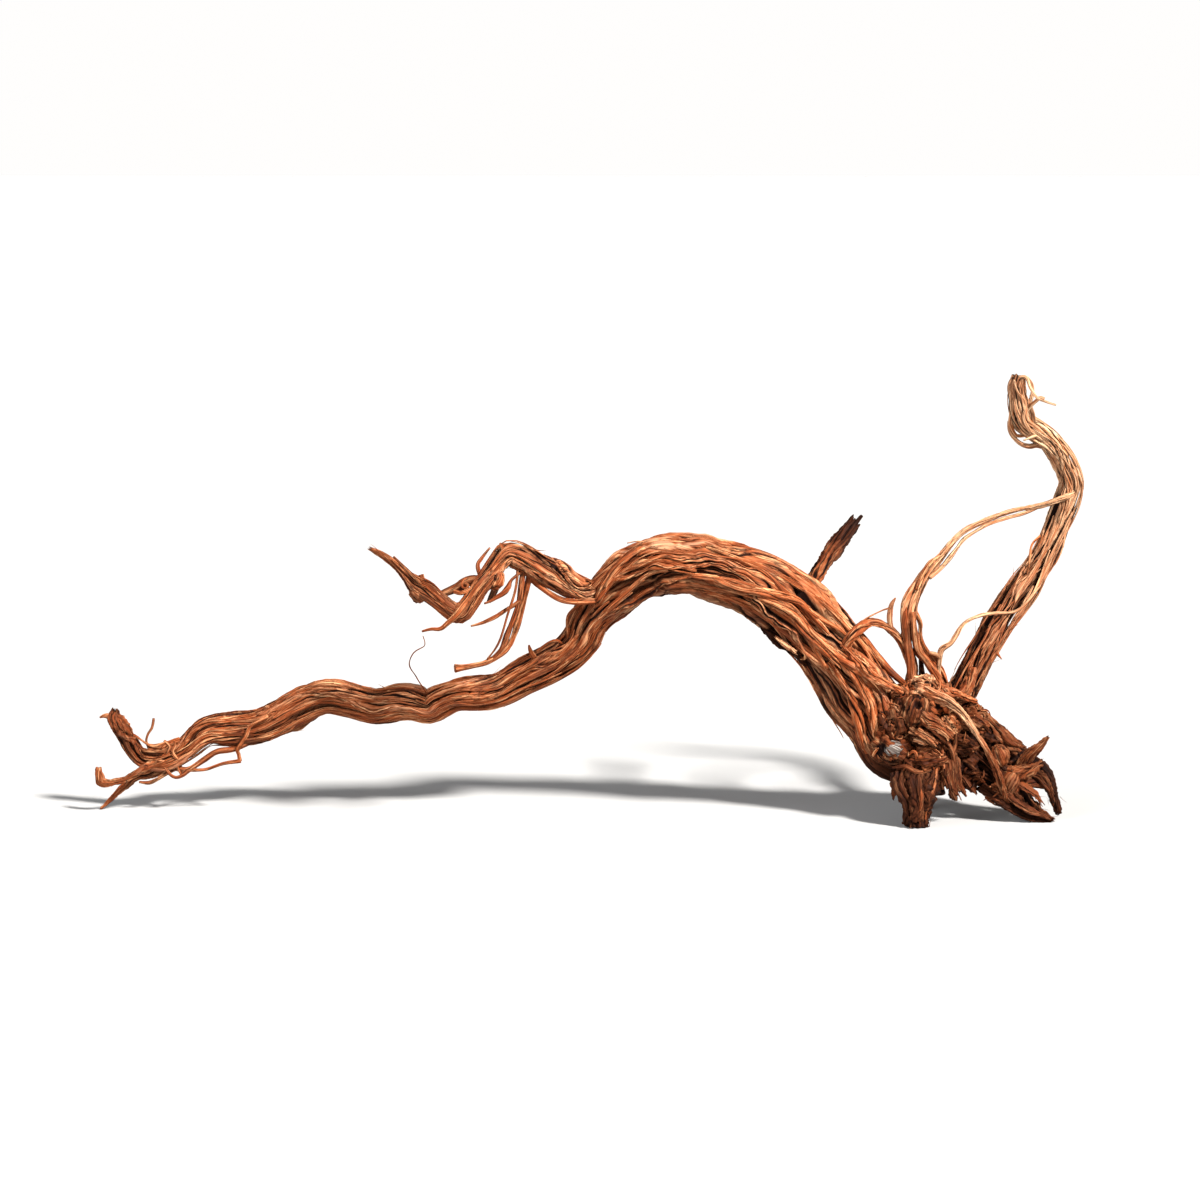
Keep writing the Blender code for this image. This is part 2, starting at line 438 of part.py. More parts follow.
def main():
    for old in list(bpy.data.objects):
        bpy.data.objects.remove(old)

    root = limb("spiderwood_root", TRUNK, 10, 13.0, groove=0.2, twist=0.004, seed=3, ragged=3.0)
    grown = [
        limb("left_branch", LEFT_BRANCH, 5, 7.5, groove=0.2, twist=0.006, wavelength=40, seed=5, ragged=1.5),
        limb("upright", UPRIGHT, 6, 9.5, groove=0.2, twist=-0.005, wavelength=45, seed=7, ragged=2.0),
        limb("back_stub", BACK_STUB, 5, 7.0, groove=0.2, wavelength=30, seed=9, ragged=3.0),
        limb("claw_root", CLAW_ROOT, 8, 6.5, shoulders=0, groove=0.05, wavelength=25, seed=11),
        limb("toe", TOE, 6, 7.0, shoulders=1, groove=0.2, wavelength=30, seed=13),
        limb("front_foot", FRONT_FOOT, 7, 7.0, shoulders=1, groove=0.2, wavelength=30, seed=15),
        limb("rear_foot", REAR_FOOT, 8, 8.0, shoulders=0, groove=0.08, wavelength=30, seed=17),
        limb("pale_root", PALE_ROOT, 7, 6.5, shoulders=0, groove=0.05, wavelength=30, seed=19),
        limb("arching_root", ARCHING_ROOT, 6, 7.5, shoulders=0, groove=0.08, wavelength=30, seed=21),
        limb("side_root", SIDE_ROOT, 7, 5.0, shoulders=0, groove=0.05, wavelength=30, seed=23),
        limb("right_strand", RIGHT_STRAND, 5, 6.0, shoulders=0, groove=0.0, seed=25),
        limb("inner_strand", INNER_STRAND, 5, 6.0, shoulders=0, groove=0.0, seed=27),
    ]
    for number, (name, rows) in enumerate(ROOTLETS.items()):
        sides = 4 if rows[1][3] < 1.15 else 5
        grown.append(limb(name, rows, sides, 9.5, shoulders=0, groove=0.0, seed=100 + number))
    for name, place in LUMPS.items():
        grown.append(lump(name, place, detail=3 if place[3] > 11 else 2))
    for name, place in BLOCKS.items():
        grown.append(block(name, place))
    combine(root, grown, "UNION")
    keep_largest(root)

    below_floor = bmesh.new()
    bmesh.ops.create_cube(below_floor, size=1.0)
    bmesh.ops.scale(below_floor, vec=(0.8, 0.4, FLOOR_CUT * MM), verts=below_floor.verts)
    bmesh.ops.translate(below_floor, vec=(0.0, 0.0, -FLOOR_CUT * MM / 2), verts=below_floor.verts)
    combine(root, [lump("hollow", (*HOLLOW, 0.08), detail=2), closed_object("floor", below_floor)], "DIFFERENCE")

    keep_largest(root)
    root.data.materials.clear()
    root.data.materials.append(wood_material())
    root.data.shade_smooth()
    root.data.set_sharp_from_angle(angle=math.radians(50.0))


main()
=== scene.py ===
import math
from types import SimpleNamespace

import bpy
import numpy as np
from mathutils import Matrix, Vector, noise


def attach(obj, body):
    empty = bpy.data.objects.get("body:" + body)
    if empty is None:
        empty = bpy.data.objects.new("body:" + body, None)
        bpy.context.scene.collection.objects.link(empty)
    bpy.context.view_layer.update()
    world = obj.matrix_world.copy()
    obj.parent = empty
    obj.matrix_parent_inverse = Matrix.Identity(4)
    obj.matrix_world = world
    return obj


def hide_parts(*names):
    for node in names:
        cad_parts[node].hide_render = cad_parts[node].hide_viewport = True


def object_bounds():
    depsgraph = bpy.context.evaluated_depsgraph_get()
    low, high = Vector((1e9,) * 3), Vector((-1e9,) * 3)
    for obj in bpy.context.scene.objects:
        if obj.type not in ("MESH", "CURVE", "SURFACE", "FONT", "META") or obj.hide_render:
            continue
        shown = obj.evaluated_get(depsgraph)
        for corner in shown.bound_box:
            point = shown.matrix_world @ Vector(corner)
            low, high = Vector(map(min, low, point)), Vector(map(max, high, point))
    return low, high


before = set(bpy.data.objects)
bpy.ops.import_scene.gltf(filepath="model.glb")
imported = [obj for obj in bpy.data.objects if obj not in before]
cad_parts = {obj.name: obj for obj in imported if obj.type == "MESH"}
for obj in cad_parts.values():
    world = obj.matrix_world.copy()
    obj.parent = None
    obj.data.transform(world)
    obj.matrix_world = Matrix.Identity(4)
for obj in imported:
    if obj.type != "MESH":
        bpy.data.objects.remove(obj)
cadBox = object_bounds()
print("frame loaded")

mm = 0.001

# The root is sketched from the camera's place. A row of a path is a place in that sketch, in millimetres:
# across to the right, up, depth behind the front foot, radius.
sketchView = {
    "distance": 1600,
    "tilt": 8,
    "centreAcross": 6,
    "centreUp": 114,
    "frameWidth": 600,
    "restShift": (-0.76, -18.07, 0),
}
tilt = math.radians(sketchView["tilt"])
acrossWay = np.array((1.0, 0.0, 0.0))
upWay = np.array((0.0, math.sin(tilt), math.cos(tilt)))
viewWay = np.array((0.0, math.cos(tilt), -math.sin(tilt)))
eye = acrossWay * sketchView["centreAcross"] + upWay * sketchView["centreUp"]
eye = eye - viewWay * sketchView["distance"]


def placed(rows):
    rows = np.asarray(rows, float)
    ray = rows[:, :1] * acrossWay + rows[:, 1:2] * upWay - eye
    reach = (rows[:, 2] - eye[1]) / ray[:, 1]
    return (eye + ray * reach[:, None] + sketchView["restShift"]) * mm


def unit(ways):
    return ways / np.linalg.norm(ways, axis=-1, keepdims=True)


def sketchWay(across, up, depth):
    return unit(across * acrossWay + up * upWay + np.array((0, depth, 0)))


def setUpCamera():
    place = (eye + np.array(sketchView["restShift"])) * mm
    bpy.ops.object.camera_add(location=place, rotation=(math.radians(90) - tilt, 0, 0))
    camera = bpy.context.object
    camera.name = "camera"
    camera.data.sensor_width = 36
    camera.data.lens = 36 * sketchView["distance"] / sketchView["frameWidth"]
    camera.data.clip_start = 0.01
    bpy.context.scene.camera = camera


setUpCamera()
print("camera set")

# Smooth random curves along a limb, and the limb's own path and frames.


def curveThrough(a, b, c, d, t):
    return b + 0.5 * t * (c - a + t * (2 * a - 5 * b + 4 * c - d + t * (3 * (b - c) + d - a)))


def drift(rng, count, along, wavelength):
    knots = rng.uniform(-1, 1, (count, int(along[-1] / wavelength) + 6))
    place = along / wavelength + 1
    k = place.astype(int)
    return curveThrough(*(knots[:, k + n] for n in (-1, 0, 1, 2)), place - k)


def smoothPath(rows, step):
    rows = np.asarray(rows, float)
    knots = np.concatenate([placed(rows), rows[:, 3:4] * mm], 1)
    knots = np.concatenate([knots[:1], knots, knots[-1:]])
    t = np.linspace(0, 1, 12, endpoint=False)[None, :, None]
    fine = curveThrough(*(knots[n : len(knots) - 3 + n, None, :] for n in range(4)), t)
    fine = np.concatenate([fine.reshape(-1, 4), knots[-1:]])
    lengths = np.concatenate([[0], np.cumsum(np.linalg.norm(np.diff(fine[:, :3], axis=0), axis=1))])
    along = np.linspace(0, lengths[-1], max(4, round(lengths[-1] / step)) + 1)
    even = follow(along, lengths, fine)
    return even[:, :3], even[:, 3], along


def follow(s, along, values):
    return np.stack([np.interp(s, along, values[:, k]) for k in range(values.shape[1])], 1)


def alongLimb(value, share):
    # a look is one number for the whole limb, or a list of shares of its length and values
    return np.interp(share, *zip(*value)) if isinstance(value, list) else np.full(len(share), float(value))


def movingFrames(path):
    ahead = unit(np.gradient(path, axis=0))
    side = np.cross(ahead[0], (0, 1, 0.1))
    sides = []
    for direction in ahead:
        side = unit(side - direction * side.dot(direction))
        sides.append(side)
    sides = np.array(sides)
    return ahead, sides, np.cross(ahead, sides)


def ridged(spots, *shape):
    rough = [noise.ridged_multi_fractal(Vector(spot), *shape) for spot in spots.reshape(-1, 3)]
    return np.array(rough).reshape(spots.shape[:-1])


def clip01(values):
    return np.clip(values, 0, 1)


def buildMesh(name, parts):
    # each part is a grid of rings: places, grain and tone for every point, closed at both ends
    places, grains, tones, faces, base = [], [], [], [], 0
    for grid, grain, tone in parts:
        grid = np.clip(grid, *np.array(cadBox))
        rings, columns = grid.shape[:2]
        ring = np.arange(columns)
        first = (np.arange(rings - 1) * columns)[:, None] + base
        after = (ring + 1) % columns
        quads = np.stack([first + ring, first + after, first + columns + after, first + columns + ring], 2)
        faces += quads.reshape(-1, 4).tolist()
        startMiddle = base + rings * columns
        last = base + (rings - 1) * columns
        faces += [(base + int(after[k]), base + k, startMiddle) for k in range(columns)]
        faces += [(last + k, last + int(after[k]), startMiddle + 1) for k in range(columns)]
        for store, values in ((places, grid), (grains, grain), (tones, tone)):
            store.append(values.reshape(-1, 3))
            store.append(np.stack([values[0].mean(0), values[-1].mean(0)]))
        base += rings * columns + 2
    mesh = bpy.data.meshes.new(name)
    mesh.from_pydata(np.concatenate(places).tolist(), [], faces)
    for label, values in (("grain", grains), ("tone", tones)):
        layer = mesh.attributes.new(label, "FLOAT_VECTOR", "POINT")
        layer.data.foreach_set("vector", np.concatenate(values).astype(np.float32).ravel())
    mesh.shade_smooth()
    made = bpy.data.objects.new(name, mesh)
    bpy.context.scene.collection.objects.link(made)
    return made


def woodMaterial(name, look):
    material = bpy.data.materials.new(name)
    material.use_nodes = True
    nodes, links = material.node_tree.nodes, material.node_tree.links
    shader = nodes["Principled BSDF"]
    shader.inputs["Specular IOR Level"].default_value = 0.06

    def make(kind, **settings):
        node = nodes.new(kind)
        for key, value in settings.items():
            setattr(node, key, value)
        return node

    def feed(node, *values):
        # a value is a number, a colour or another node's output
        for socket, value in values:
            if isinstance(value, (int, float, tuple)):
                node.inputs[socket].default_value = value
            else:
                links.new(value, node.inputs[socket])
        return node

    def maths(operation, first, second=0):
        return feed(make("ShaderNodeMath", operation=operation), (0, first), (1, second)).outputs[0]

    def mixed(factor, first, second):
        node = make("ShaderNodeMix", data_type="RGBA")
        return feed(node, (0, factor), (6, first), (7, second)).outputs[2]

    def spread(value, low, high, start=0, end=1):
        node = feed(make("ShaderNodeMapRange"), ("Value", value), ("From Min", low), ("From Max", high))
        return feed(node, ("To Min", start), ("To Max", end)).outputs[0]

    def clouds(vector, scale, detail, roughness):
        node = feed(make("ShaderNodeTexNoise"), ("Vector", vector), ("Scale", scale))
        return feed(node, ("Detail", detail), ("Roughness", roughness)).outputs["Fac"]

    def fibres(along, across, detail):
        stretch = feed(make("ShaderNodeMapping"), ("Vector", grain), ("Scale", (along, across, 37)))
        return clouds(stretch.outputs[0], 1, detail, 0.6)

    def crack(pattern, low, high, patches):
        # a thin line where a stretched pattern crosses its middle value
        distance = maths("ABSOLUTE", maths("SUBTRACT", pattern, 0.5))
        return maths("MULTIPLY", spread(distance, low, high, 1, 0), patches)

    grain = make("ShaderNodeAttribute", attribute_name="grain").outputs["Vector"]
    tone = make("ShaderNodeAttribute", attribute_name="tone").outputs["Vector"]
    # the first tone is painted shade of grooves; below zero it is a painted highlight of crests
    depth, pale, dark = feed(make("ShaderNodeSeparateXYZ"), (0, tone)).outputs
    strandNumber = feed(make("ShaderNodeSeparateXYZ"), (0, grain)).outputs[2]
    here = make("ShaderNodeTexCoord").outputs["Object"]
    coarse, fineFibre = fibres(45, 420, 5), fibres(120, 2200, 4)
    blotch, wide = clouds(here, 55, 4, 0.65), clouds(here, 16, 3, 0.6)
    streak = maths("ADD", maths("MULTIPLY", coarse, 0.6), maths("MULTIPLY", fineFibre, 0.4))
    ramp = feed(make("ShaderNodeValToRGB"), ("Fac", streak))
    stops = ramp.color_ramp.elements
    stops[0].position, stops[0].color = 0.39, look["shade"]
    stops[1].position, stops[1].color = 0.61, look["light"]
    stops.new(0.5).color = look["body"]
    colour = mixed(maths("MULTIPLY", strandNumber, 0.6), ramp.outputs["Color"], look["red"])
    colour = mixed(spread(blotch, 0.54, 0.72, 0, 0.6), colour, look["stain"])
    colour = mixed(spread(wide, 0.55, 0.72, 0, 0.45), colour, look["shade"])
    # painted highlight: raised crests, where the groove tone drops below zero, turn paler
    colour = mixed(spread(depth, -0.6, 0, 0.3, 0), colour, look["crestHighlight"])
    strong = spread(streak, 0.4, 0.58)
    colour = mixed(pale, colour, mixed(strong, look["paleShade"], look["pale"]))
    colour = mixed(dark, colour, mixed(strong, look["darkShade"], look["dark"]))
    hairline = crack(fibres(60, 700, 3), 0, 0.03, spread(coarse, 0.42, 0.55))
    longCrack = crack(fibres(17, 330, 2), 0.004, 0.016, spread(blotch, 0.4, 0.5))
    hairline = maths("MAXIMUM", hairline, longCrack)
    colour = mixed(maths("MULTIPLY", hairline, 0.85), colour, look["groove"])
    # painted shade: the deeper a point sits in a groove, the nearer it comes to the groove colour
    colour = mixed(spread(depth, 0.12, 0.74), colour, look["groove"])
    height = maths("SUBTRACT", streak, maths("MULTIPLY", hairline, 0.6))
    bump = feed(make("ShaderNodeBump"), ("Strength", 0.8), ("Distance", 0.0007), ("Height", height))
    feed(shader, ("Base Color", colour), ("Normal", bump.outputs[0]))
    feed(shader, ("Roughness", spread(coarse, 0, 1, 0.45, 0.8)))
    return material


# groove is the near-black of painted shade in grooves, also used for the thin crack lines
woodColours = {
    "shade": (0.105, 0.02, 0.005, 1), "body": (0.365, 0.09, 0.026, 1), "light": (0.83, 0.42, 0.2, 1),
    "crestHighlight": (0.9, 0.56, 0.34, 1), "red": (0.22, 0.044, 0.012, 1), "stain": (0.075, 0.03, 0.021, 1),
    "pale": (0.93, 0.62, 0.37, 1), "paleShade": (0.44, 0.14, 0.043, 1), "dark": (0.052, 0.013, 0.004, 1),
    "darkShade": (0.009, 0.0026, 0.0011, 1), "groove": (0.009, 0.0022, 0.001, 1),
}
nubColours = {
    "shade": (0.05, 0.042, 0.038, 1), "body": (0.19, 0.165, 0.145, 1), "light": (0.52, 0.47, 0.42, 1),
    "crestHighlight": (0.52, 0.47, 0.42, 1), "red": (0.11, 0.085, 0.07, 1),
}
wood = woodMaterial("driedRootWood", woodColours)
greyWood = woodMaterial("greyNubWood", {**woodColours, **nubColours})


def addPiece(name, parts, material=wood):
    piece = buildMesh(name, parts)
    piece.data.materials.append(material)
    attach(piece, "root")
    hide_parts("spiderwood_root")


# How the strands of a limb run: their number, how uneven they are, how deep the grooves between them go.
# Painted shade: one look darkens the side of a limb that faces down.
plainLimb = dict(
    split=3, step=1.25, uneven=0.95, run=40, twist=3, waves=0.085, waveLength=78, calm=1, groove=5,
    fineGroove=2.2, relief=2.2, grit=0.16, crumble=0.2, crumbSize=3, lobes=0.05, squash=None, start=0,
    end=3.5, pale=0, dark=0, under=0.25, deep=0, fullRadius=8, darkCut=1.3, lowStrand=2.2, crestRise=1.8,
)
strandColumns = (-1, -0.84, -0.4, 0.4, 0.84)  # from one groove to the next
strandWaves = (  # turns round the limb, share of the wave length, size
    (1, 1, 1), (2, 0.73, 0.9), (-3, 0.51, 0.7), (4, 0.6, 0.55), (-5, 0.37, 0.4), (7, 0.31, 0.3),
    (9, 0.16, 0.32), (-13, 0.11, 0.24),
)


def limbGrid(limb):
    look = SimpleNamespace(**{**plainLimb, **limb})
    rng, fineRng = np.random.default_rng(look.seed), np.random.default_rng(look.seed + 1000)
    path, radius, along = smoothPath(look.path, look.step * mm)
    ahead, side, across = movingFrames(path)
    share, count, run = along / along[-1], len(along), look.run * mm
    bundles, split, columns = look.strands, look.split, len(strandColumns)
    strands = bundles * split
    points = strands * columns
    parts = np.exp(look.uneven * drift(rng, bundles, along, run))[:, None, :]
    finer = np.exp(look.uneven * drift(rng, strands, along, run * 0.6))
    finer = (finer * np.exp(0.24 * drift(fineRng, strands, along, 8 * mm))).reshape(bundles, split, count)
    parts = (finer / finer.sum(1, keepdims=True) * parts).reshape(-1, count)
    edges = np.concatenate([np.zeros((1, count)), np.cumsum(parts, 0)]) / parts.sum(0) * math.tau
    edges += look.twist * along + 0.3 * drift(rng, 1, along, run * 2)
    # columns follow each strand from groove to groove
    u = np.array(strandColumns)[None, :, None]
    gap = clip01(1.3 * drift(rng, strands, along, run * 0.5))[:, None, :] ** 2
    u = u + 0.3 * gap * ((u < -0.6) & (u > -0.99)) - 0.3 * np.roll(gap, -1, 0) * (u > 0.6)
    start, width = edges[:-1, None, :], np.diff(edges, axis=0)[:, None, :]
    angle = even = start + width * (u + 1) / 2
    calm = alongLimb(look.calm, share)
    for turns, part, size in strandWaves:
        if abs(turns) > 8:
            phase = 2 * drift(fineRng, 1, along, run)
        else:
            phase = rng.uniform(0, math.tau) + 1.5 * drift(rng, 1, along, run * 2)
        wave = np.sin(math.tau * along / (look.waveLength * part * mm) + turns * angle + phase)
        angle = angle + look.waves * calm * size * wave
    bundle = np.repeat(np.arange(bundles), split)
    low, high = edges[:-1:split][bundle][:, None, :], edges[split::split][bundle][:, None, :]
    acrossBundle = np.abs((even - low) / (high - low) * 2 - 1)
    slim = np.minimum(1, radius / (look.fullRadius * mm))  # a slim limb has shallow grooves
    relief = look.relief * mm * slim
    rise = relief * drift(rng, bundles, along, run * 1.3)[bundle][:, None, :]
    rise = rise + 0.4 * relief * drift(rng, strands, along, run * 0.8)[:, None, :]
    rise = rise - radius * (0.17 * (high - low) * acrossBundle**3 + 0.27 * width * np.abs(u) ** 2.6)
    rise = rise + look.grit * mm * drift(rng, points, along, 5 * mm).reshape(rise.shape)
    deep = np.clip(0.5 + drift(rng, bundles, along, run * 0.6), 0.05, 1.6)[bundle][:, None, :]
    fine = np.clip(0.35 + 1.2 * drift(rng, strands, along, run * 0.32), 0, 1.4)[:, None, :]
    atEdge = (np.arange(strands) % split == 0)[:, None, None]
    cut = np.where(atEdge, look.groove * deep, look.fineGroove * fine) * (0.6 + 0.8 * gap) * mm * slim
    cut = np.minimum(cut, (0.2 + 0.22 * slim) * radius) * calm**0.5
    atGroove = u < -0.99
    lobes = np.sin(2 * angle + 5 * drift(rng, 1, along, 60 * mm)) + 0.6 * np.sin(3 * angle - 17 * along)
    lobes = lobes + np.sin(angle + 6 * drift(fineRng, 1, along, 30 * mm))
    lobes = lobes + 0.7 * drift(fineRng, 1, along, 14 * mm)
    level = np.percentile(rise - cut * atGroove, 85, axis=(0, 1))
    reach = np.maximum(radius * (1 + look.lobes * lobes) + rise - cut * atGroove - level, 0.35 * radius)
    angle, reach = angle.reshape(points, count).T, reach.reshape(points, count).T
    outward = side[:, None, :] * np.cos(angle)[..., None] + across[:, None, :] * np.sin(angle)[..., None]
    grid = path[:, None, :] + outward * reach[..., None]
    crumb = look.crumble * (ridged(grid / (look.crumbSize * mm), 0.9, 2.1, 3, 1, 2) - 1.1)
    grid = grid + outward * (crumb * mm)[..., None]
    for k in range(1, count):
        gain = ((grid[k] - grid[k - 1]) * ahead[k]).sum(1)
        grid[k] += ahead[k] * np.maximum(0.1 * look.step * mm - gain, 0)[:, None]
    ids = np.repeat(rng.uniform(0, 1, strands), columns)
    grain = np.stack(np.broadcast_arrays(along[:, None], angle * radius.mean(), ids), 2)
    # the tone of a point: how deep in a groove it is, as painted shade, pale, dark
    isOpen = clip01(cut / (look.darkCut * mm))
    beside = np.where(np.abs(u) > 0.45, 0.6, 0.1) * np.where(u < 0, isOpen, np.roll(isOpen, -1, 0))
    crack = np.where(atGroove, np.maximum(isOpen, 0.12), beside)
    # painted shade also on strands that sink below their neighbours and in pits of the crumbled skin
    crack = crack + 0.45 * clip01(-rise / (look.lowStrand * mm))
    crack = clip01(clip01(crack).reshape(points, count).T - np.clip(0.45 * crumb, -1, 0))
    # painted highlight: a raised crest lowers the groove tone below zero, which the material paints paler
    crest = clip01((rise - level) / (look.crestRise * mm) + 0.1).reshape(points, count).T
    # deep adds painted shade to the groove tone all over the limb
    crack = np.clip(crack - 0.6 * crest * (crack < 0.08) + look.deep, -1, 1)
    # painted shade: the side of a limb that faces down is darkened
    pale, dark, under = (alongLimb(value, share)[:, None] for value in (look.pale, look.dark, look.under))
    dark = clip01(dark + under * clip01(-1.6 * outward[:, :, 2] - 0.2))
    tone = np.stack(np.broadcast_arrays(crack, pale, dark), 2)
    # broken ends: every strand snaps at its own length
    for ragged, last, facing in ((look.end, -1, 1), (look.start, 0, -1)):
        if not ragged:
            continue
        snapped = rng.uniform(-0.3, 1, strands)
        snapped = np.stack([snapped, snapped + rng.uniform(-0.35, 0.35, strands)], 1)
        jag = np.repeat(snapped, [2, columns - 2], 1).reshape(-1, 1) * ragged * mm
        jag[::columns] -= 0.5 * ragged * mm
        middle, onward = path[last], ahead[last] * facing
        rim = grid[last] + onward * jag
        lip = middle + (rim - middle) * 0.8 + onward * jag * 0.3
        inner = middle + (grid[last] - middle) * 0.4 - onward * ragged * mm * 0.5
        capTone = np.repeat(tone[last][None], 3, 0)
        # painted shade: the lip and sunken middle of a broken end take a deep groove tone
        capTone[1:, :, 0] = 0.7
        capGrain = np.repeat(grain[last][None], 3, 0)
        caps = zip((np.stack([rim, lip, inner]), capGrain, capTone), (grid, grain, tone))
        if last == 0:
            grid, grain, tone = (np.concatenate([cap[::-1], rest]) for cap, rest in caps)
        else:
            grid, grain, tone = (np.concatenate([rest, cap]) for cap, rest in caps)
    if look.squash:
        *flatWay, flatter = look.squash
        flatWay = sketchWay(*flatWay)
        spine = follow(grain[:, 0, 0], along, path)[:, None, :]
        grid = grid - flatWay * ((grid - spine) @ flatWay)[..., None] * (1 - flatter)
    return grid, grain, tone


trunk = dict(
    strands=13, step=1.5, relief=2.6, seed=21, end=1.4, calm=[(0, 0.25), (0.12, 0.4), (0.22, 1)],
    under=[(0, 1), (0.08, 0.6), (0.14, 0), (0.22, 0.5), (0.34, 0.7), (0.42, 0.1), (1, 0.25)],
    dark=[(0, 1), (0.035, 0.5), (0.08, 0), (0.78, 0), (0.93, 0.25), (0.96, 0.6), (1, 0.7)],
    pale=[(0, 0), (0.06, 0), (0.1, 0.1), (0.16, 0.14), (0.3, 0.06), (0.36, 0), (0.64, 0), (0.68, 0.13),
    (0.76, 0.12), (0.82, 0), (1, 0)],
    path=[
        (168.5, 31.5, 28, 17), (152.5, 45, 28, 20.5), (139, 62, 25, 19), (128, 80, 21, 18),
        (115, 97, 17, 18), (101, 111, 13, 18), (84.5, 122, 10, 16.7), (67, 128, 8, 15.5),
        (51, 131.2, 8, 15.2), (36.5, 132, 10, 14.5), (23.5, 126, 13, 13.2), (9.5, 114.5, 17, 12.8),
        (1.5, 104.5, 20, 10.5), (-2.5, 96, 23, 10), (-10.5, 87.2, 26, 9.4), (-21, 81, 29, 9.4),
        (-33, 75, 31, 8.9), (-44, 69, 33, 8.6), (-55, 67, 35, 8.7), (-66, 66, 36, 8), (-74, 63, 37, 8.6),
        (-79, 60, 38, 8), (-87.5, 62, 39, 8.3), (-94.5, 62.5, 40, 8.6), (-106.5, 61, 41, 9),
        (-119, 63.7, 42, 8.8), (-131.5, 65, 43, 8.6), (-145.5, 60, 43, 9.2), (-161.5, 51.5, 44, 8.2),
        (-176.5, 49, 44, 8.2), (-190, 48, 44, 7.5), (-200, 40.5, 44, 6.8), (-209, 35.5, 44, 7),
        (-216.5, 33.5, 44, 5.8), (-223, 34.5, 44, 5.2), (-228, 39.5, 43, 4.8), (-231.5, 46, 42, 4.4),
        (-234.8, 51.8, 41, 4.3), (-236.6, 55, 40, 3.8), (-236.3, 58.6, 40, 2),
    ],
)

leftBranch = dict(
    strands=8, step=1.2, run=24, seed=5, twist=5, end=1.5, pale=[(0, 0.12), (0.5, 0.14), (0.6, 0), (1, 0)],
    dark=[(0, 0), (0.5, 0), (0.62, 0.5), (0.76, 0.65), (0.85, 0.4), (0.92, 0), (1, 0)],
    path=[
        (30, 124, 26, 4), (16, 118, 25, 5.4), (3, 117.5, 18, 6.2), (-6.5, 120.5, 8, 6.8),
        (-16, 125.5, 0, 7), (-25, 130.5, -6, 7), (-33.5, 135.5, -11, 7), (-40, 137.5, -13, 6.3),
        (-44.5, 133.5, -15, 5.3), (-49.5, 126.5, -17, 5), (-54, 120.5, -19, 4.7), (-59.5, 112, -21, 4.7),
        (-64, 107, -22, 5), (-69, 109, -22, 4.7), (-74.5, 113.5, -21, 4.5), (-80, 118, -19, 5),
        (-86, 121.5, -17, 4.6), (-90.5, 126, -15, 3), (-95, 130.5, -13, 2.1), (-100.5, 135, -11, 1.7),
        (-105.5, 138, -9, 1.3), (-108.5, 139.5, -8, 0.8),
    ],
)

upright = dict(
    strands=9, step=1.2, run=26, seed=7, twist=-4, end=2, relief=3.2, groove=7, fineGroove=3.4, lobes=0.09,
    pale=[(0, 0), (0.3, 0.1), (0.6, 0.6), (0.85, 0.8), (1, 0.4)],
    dark=[(0, 0.75), (0.22, 0.4), (0.42, 0.05), (0.88, 0), (1, 0.3)],
    path=[
        (178.5, 53, 34, 7.5), (186, 68, 38, 7.5), (192, 80, 41, 7.8), (199, 91.5, 44, 7.8),
        (206, 103, 47, 7.8), (213, 113, 50, 8.2), (219, 121.5, 52, 8.2), (224.5, 130.5, 54, 6.8),
        (230, 141.5, 55, 6.3), (235, 153, 56, 6.3), (239.5, 164.5, 56, 6.8), (242, 173, 55, 6.1),
        (238, 183.5, 53, 6), (231.5, 192.5, 50, 5.7), (224, 198.5, 47, 5.7), (218, 203.5, 45, 6),
        (215.5, 211.5, 43, 5.9), (215.5, 219, 42, 5.6), (216.5, 224.5, 41, 4.2),
    ],
)

# The stub stands behind the trunk, and its dark is painted shade.
backStub = dict(
    strands=6, split=2, step=0.9, run=18, seed=9, end=5, crumble=0.6,
    dark=[(0, 0.35), (0.55, 0.45), (0.8, 0.9), (1, 1)],
    path=[
        (106, 114, 20, 4.5), (114.5, 127.5, 38, 4.5), (120.5, 137.5, 48, 4.5), (127, 145.5, 56, 4.3),
        (132, 152, 61, 3.7),
    ],
)

archingRoot = dict(
    strands=5, split=2, step=1.1, run=20, seed=31, end=0, pale=[(0, 0.7), (0.5, 0.4), (1, 0)],
    path=[
        (244, 168, 52, 1.6), (239, 165.5, 47, 1.8), (231.5, 163, 45, 1.7), (223, 160.7, 42, 1.6),
        (213.5, 159, 38, 1.5), (201, 154.6, 33, 1.5), (189.5, 149.6, 28, 1.6), (183.5, 144.6, 25, 1.7),
        (177, 136.6, 22, 2), (170, 128, 20, 3), (165, 120, 18, 3.6), (161.5, 112.5, 17, 4.1),
        (160, 105.5, 17, 4.1), (159, 97.5, 18, 3.4), (160, 90, 19, 3.1), (162, 82, 21, 3.1),
        (161.5, 73, 23, 3.2), (162, 62, 26, 3.2),
    ],
)

clawRoot = dict(
    strands=6, split=2, step=0.7, run=14, seed=41, end=2, crumble=1.1, relief=3.2, groove=3.4, deep=0.2,
    dark=[(0, 0.6), (0.5, 0.85), (0.7, 1), (1, 1)],
    path=[
        (188, 63, 38, 5.5), (196.5, 54, 38, 4.9), (203.3, 48.5, 36, 4.7), (208.4, 44, 34, 4.6),
        (213.5, 38.5, 31, 4.6), (219.5, 33, 28, 4.5), (226, 28.5, 26, 4.2), (230.4, 22, 24, 3.7),
        (233.2, 14, 22, 3.1), (234.9, 8.2, 21, 2.1),
    ],
)

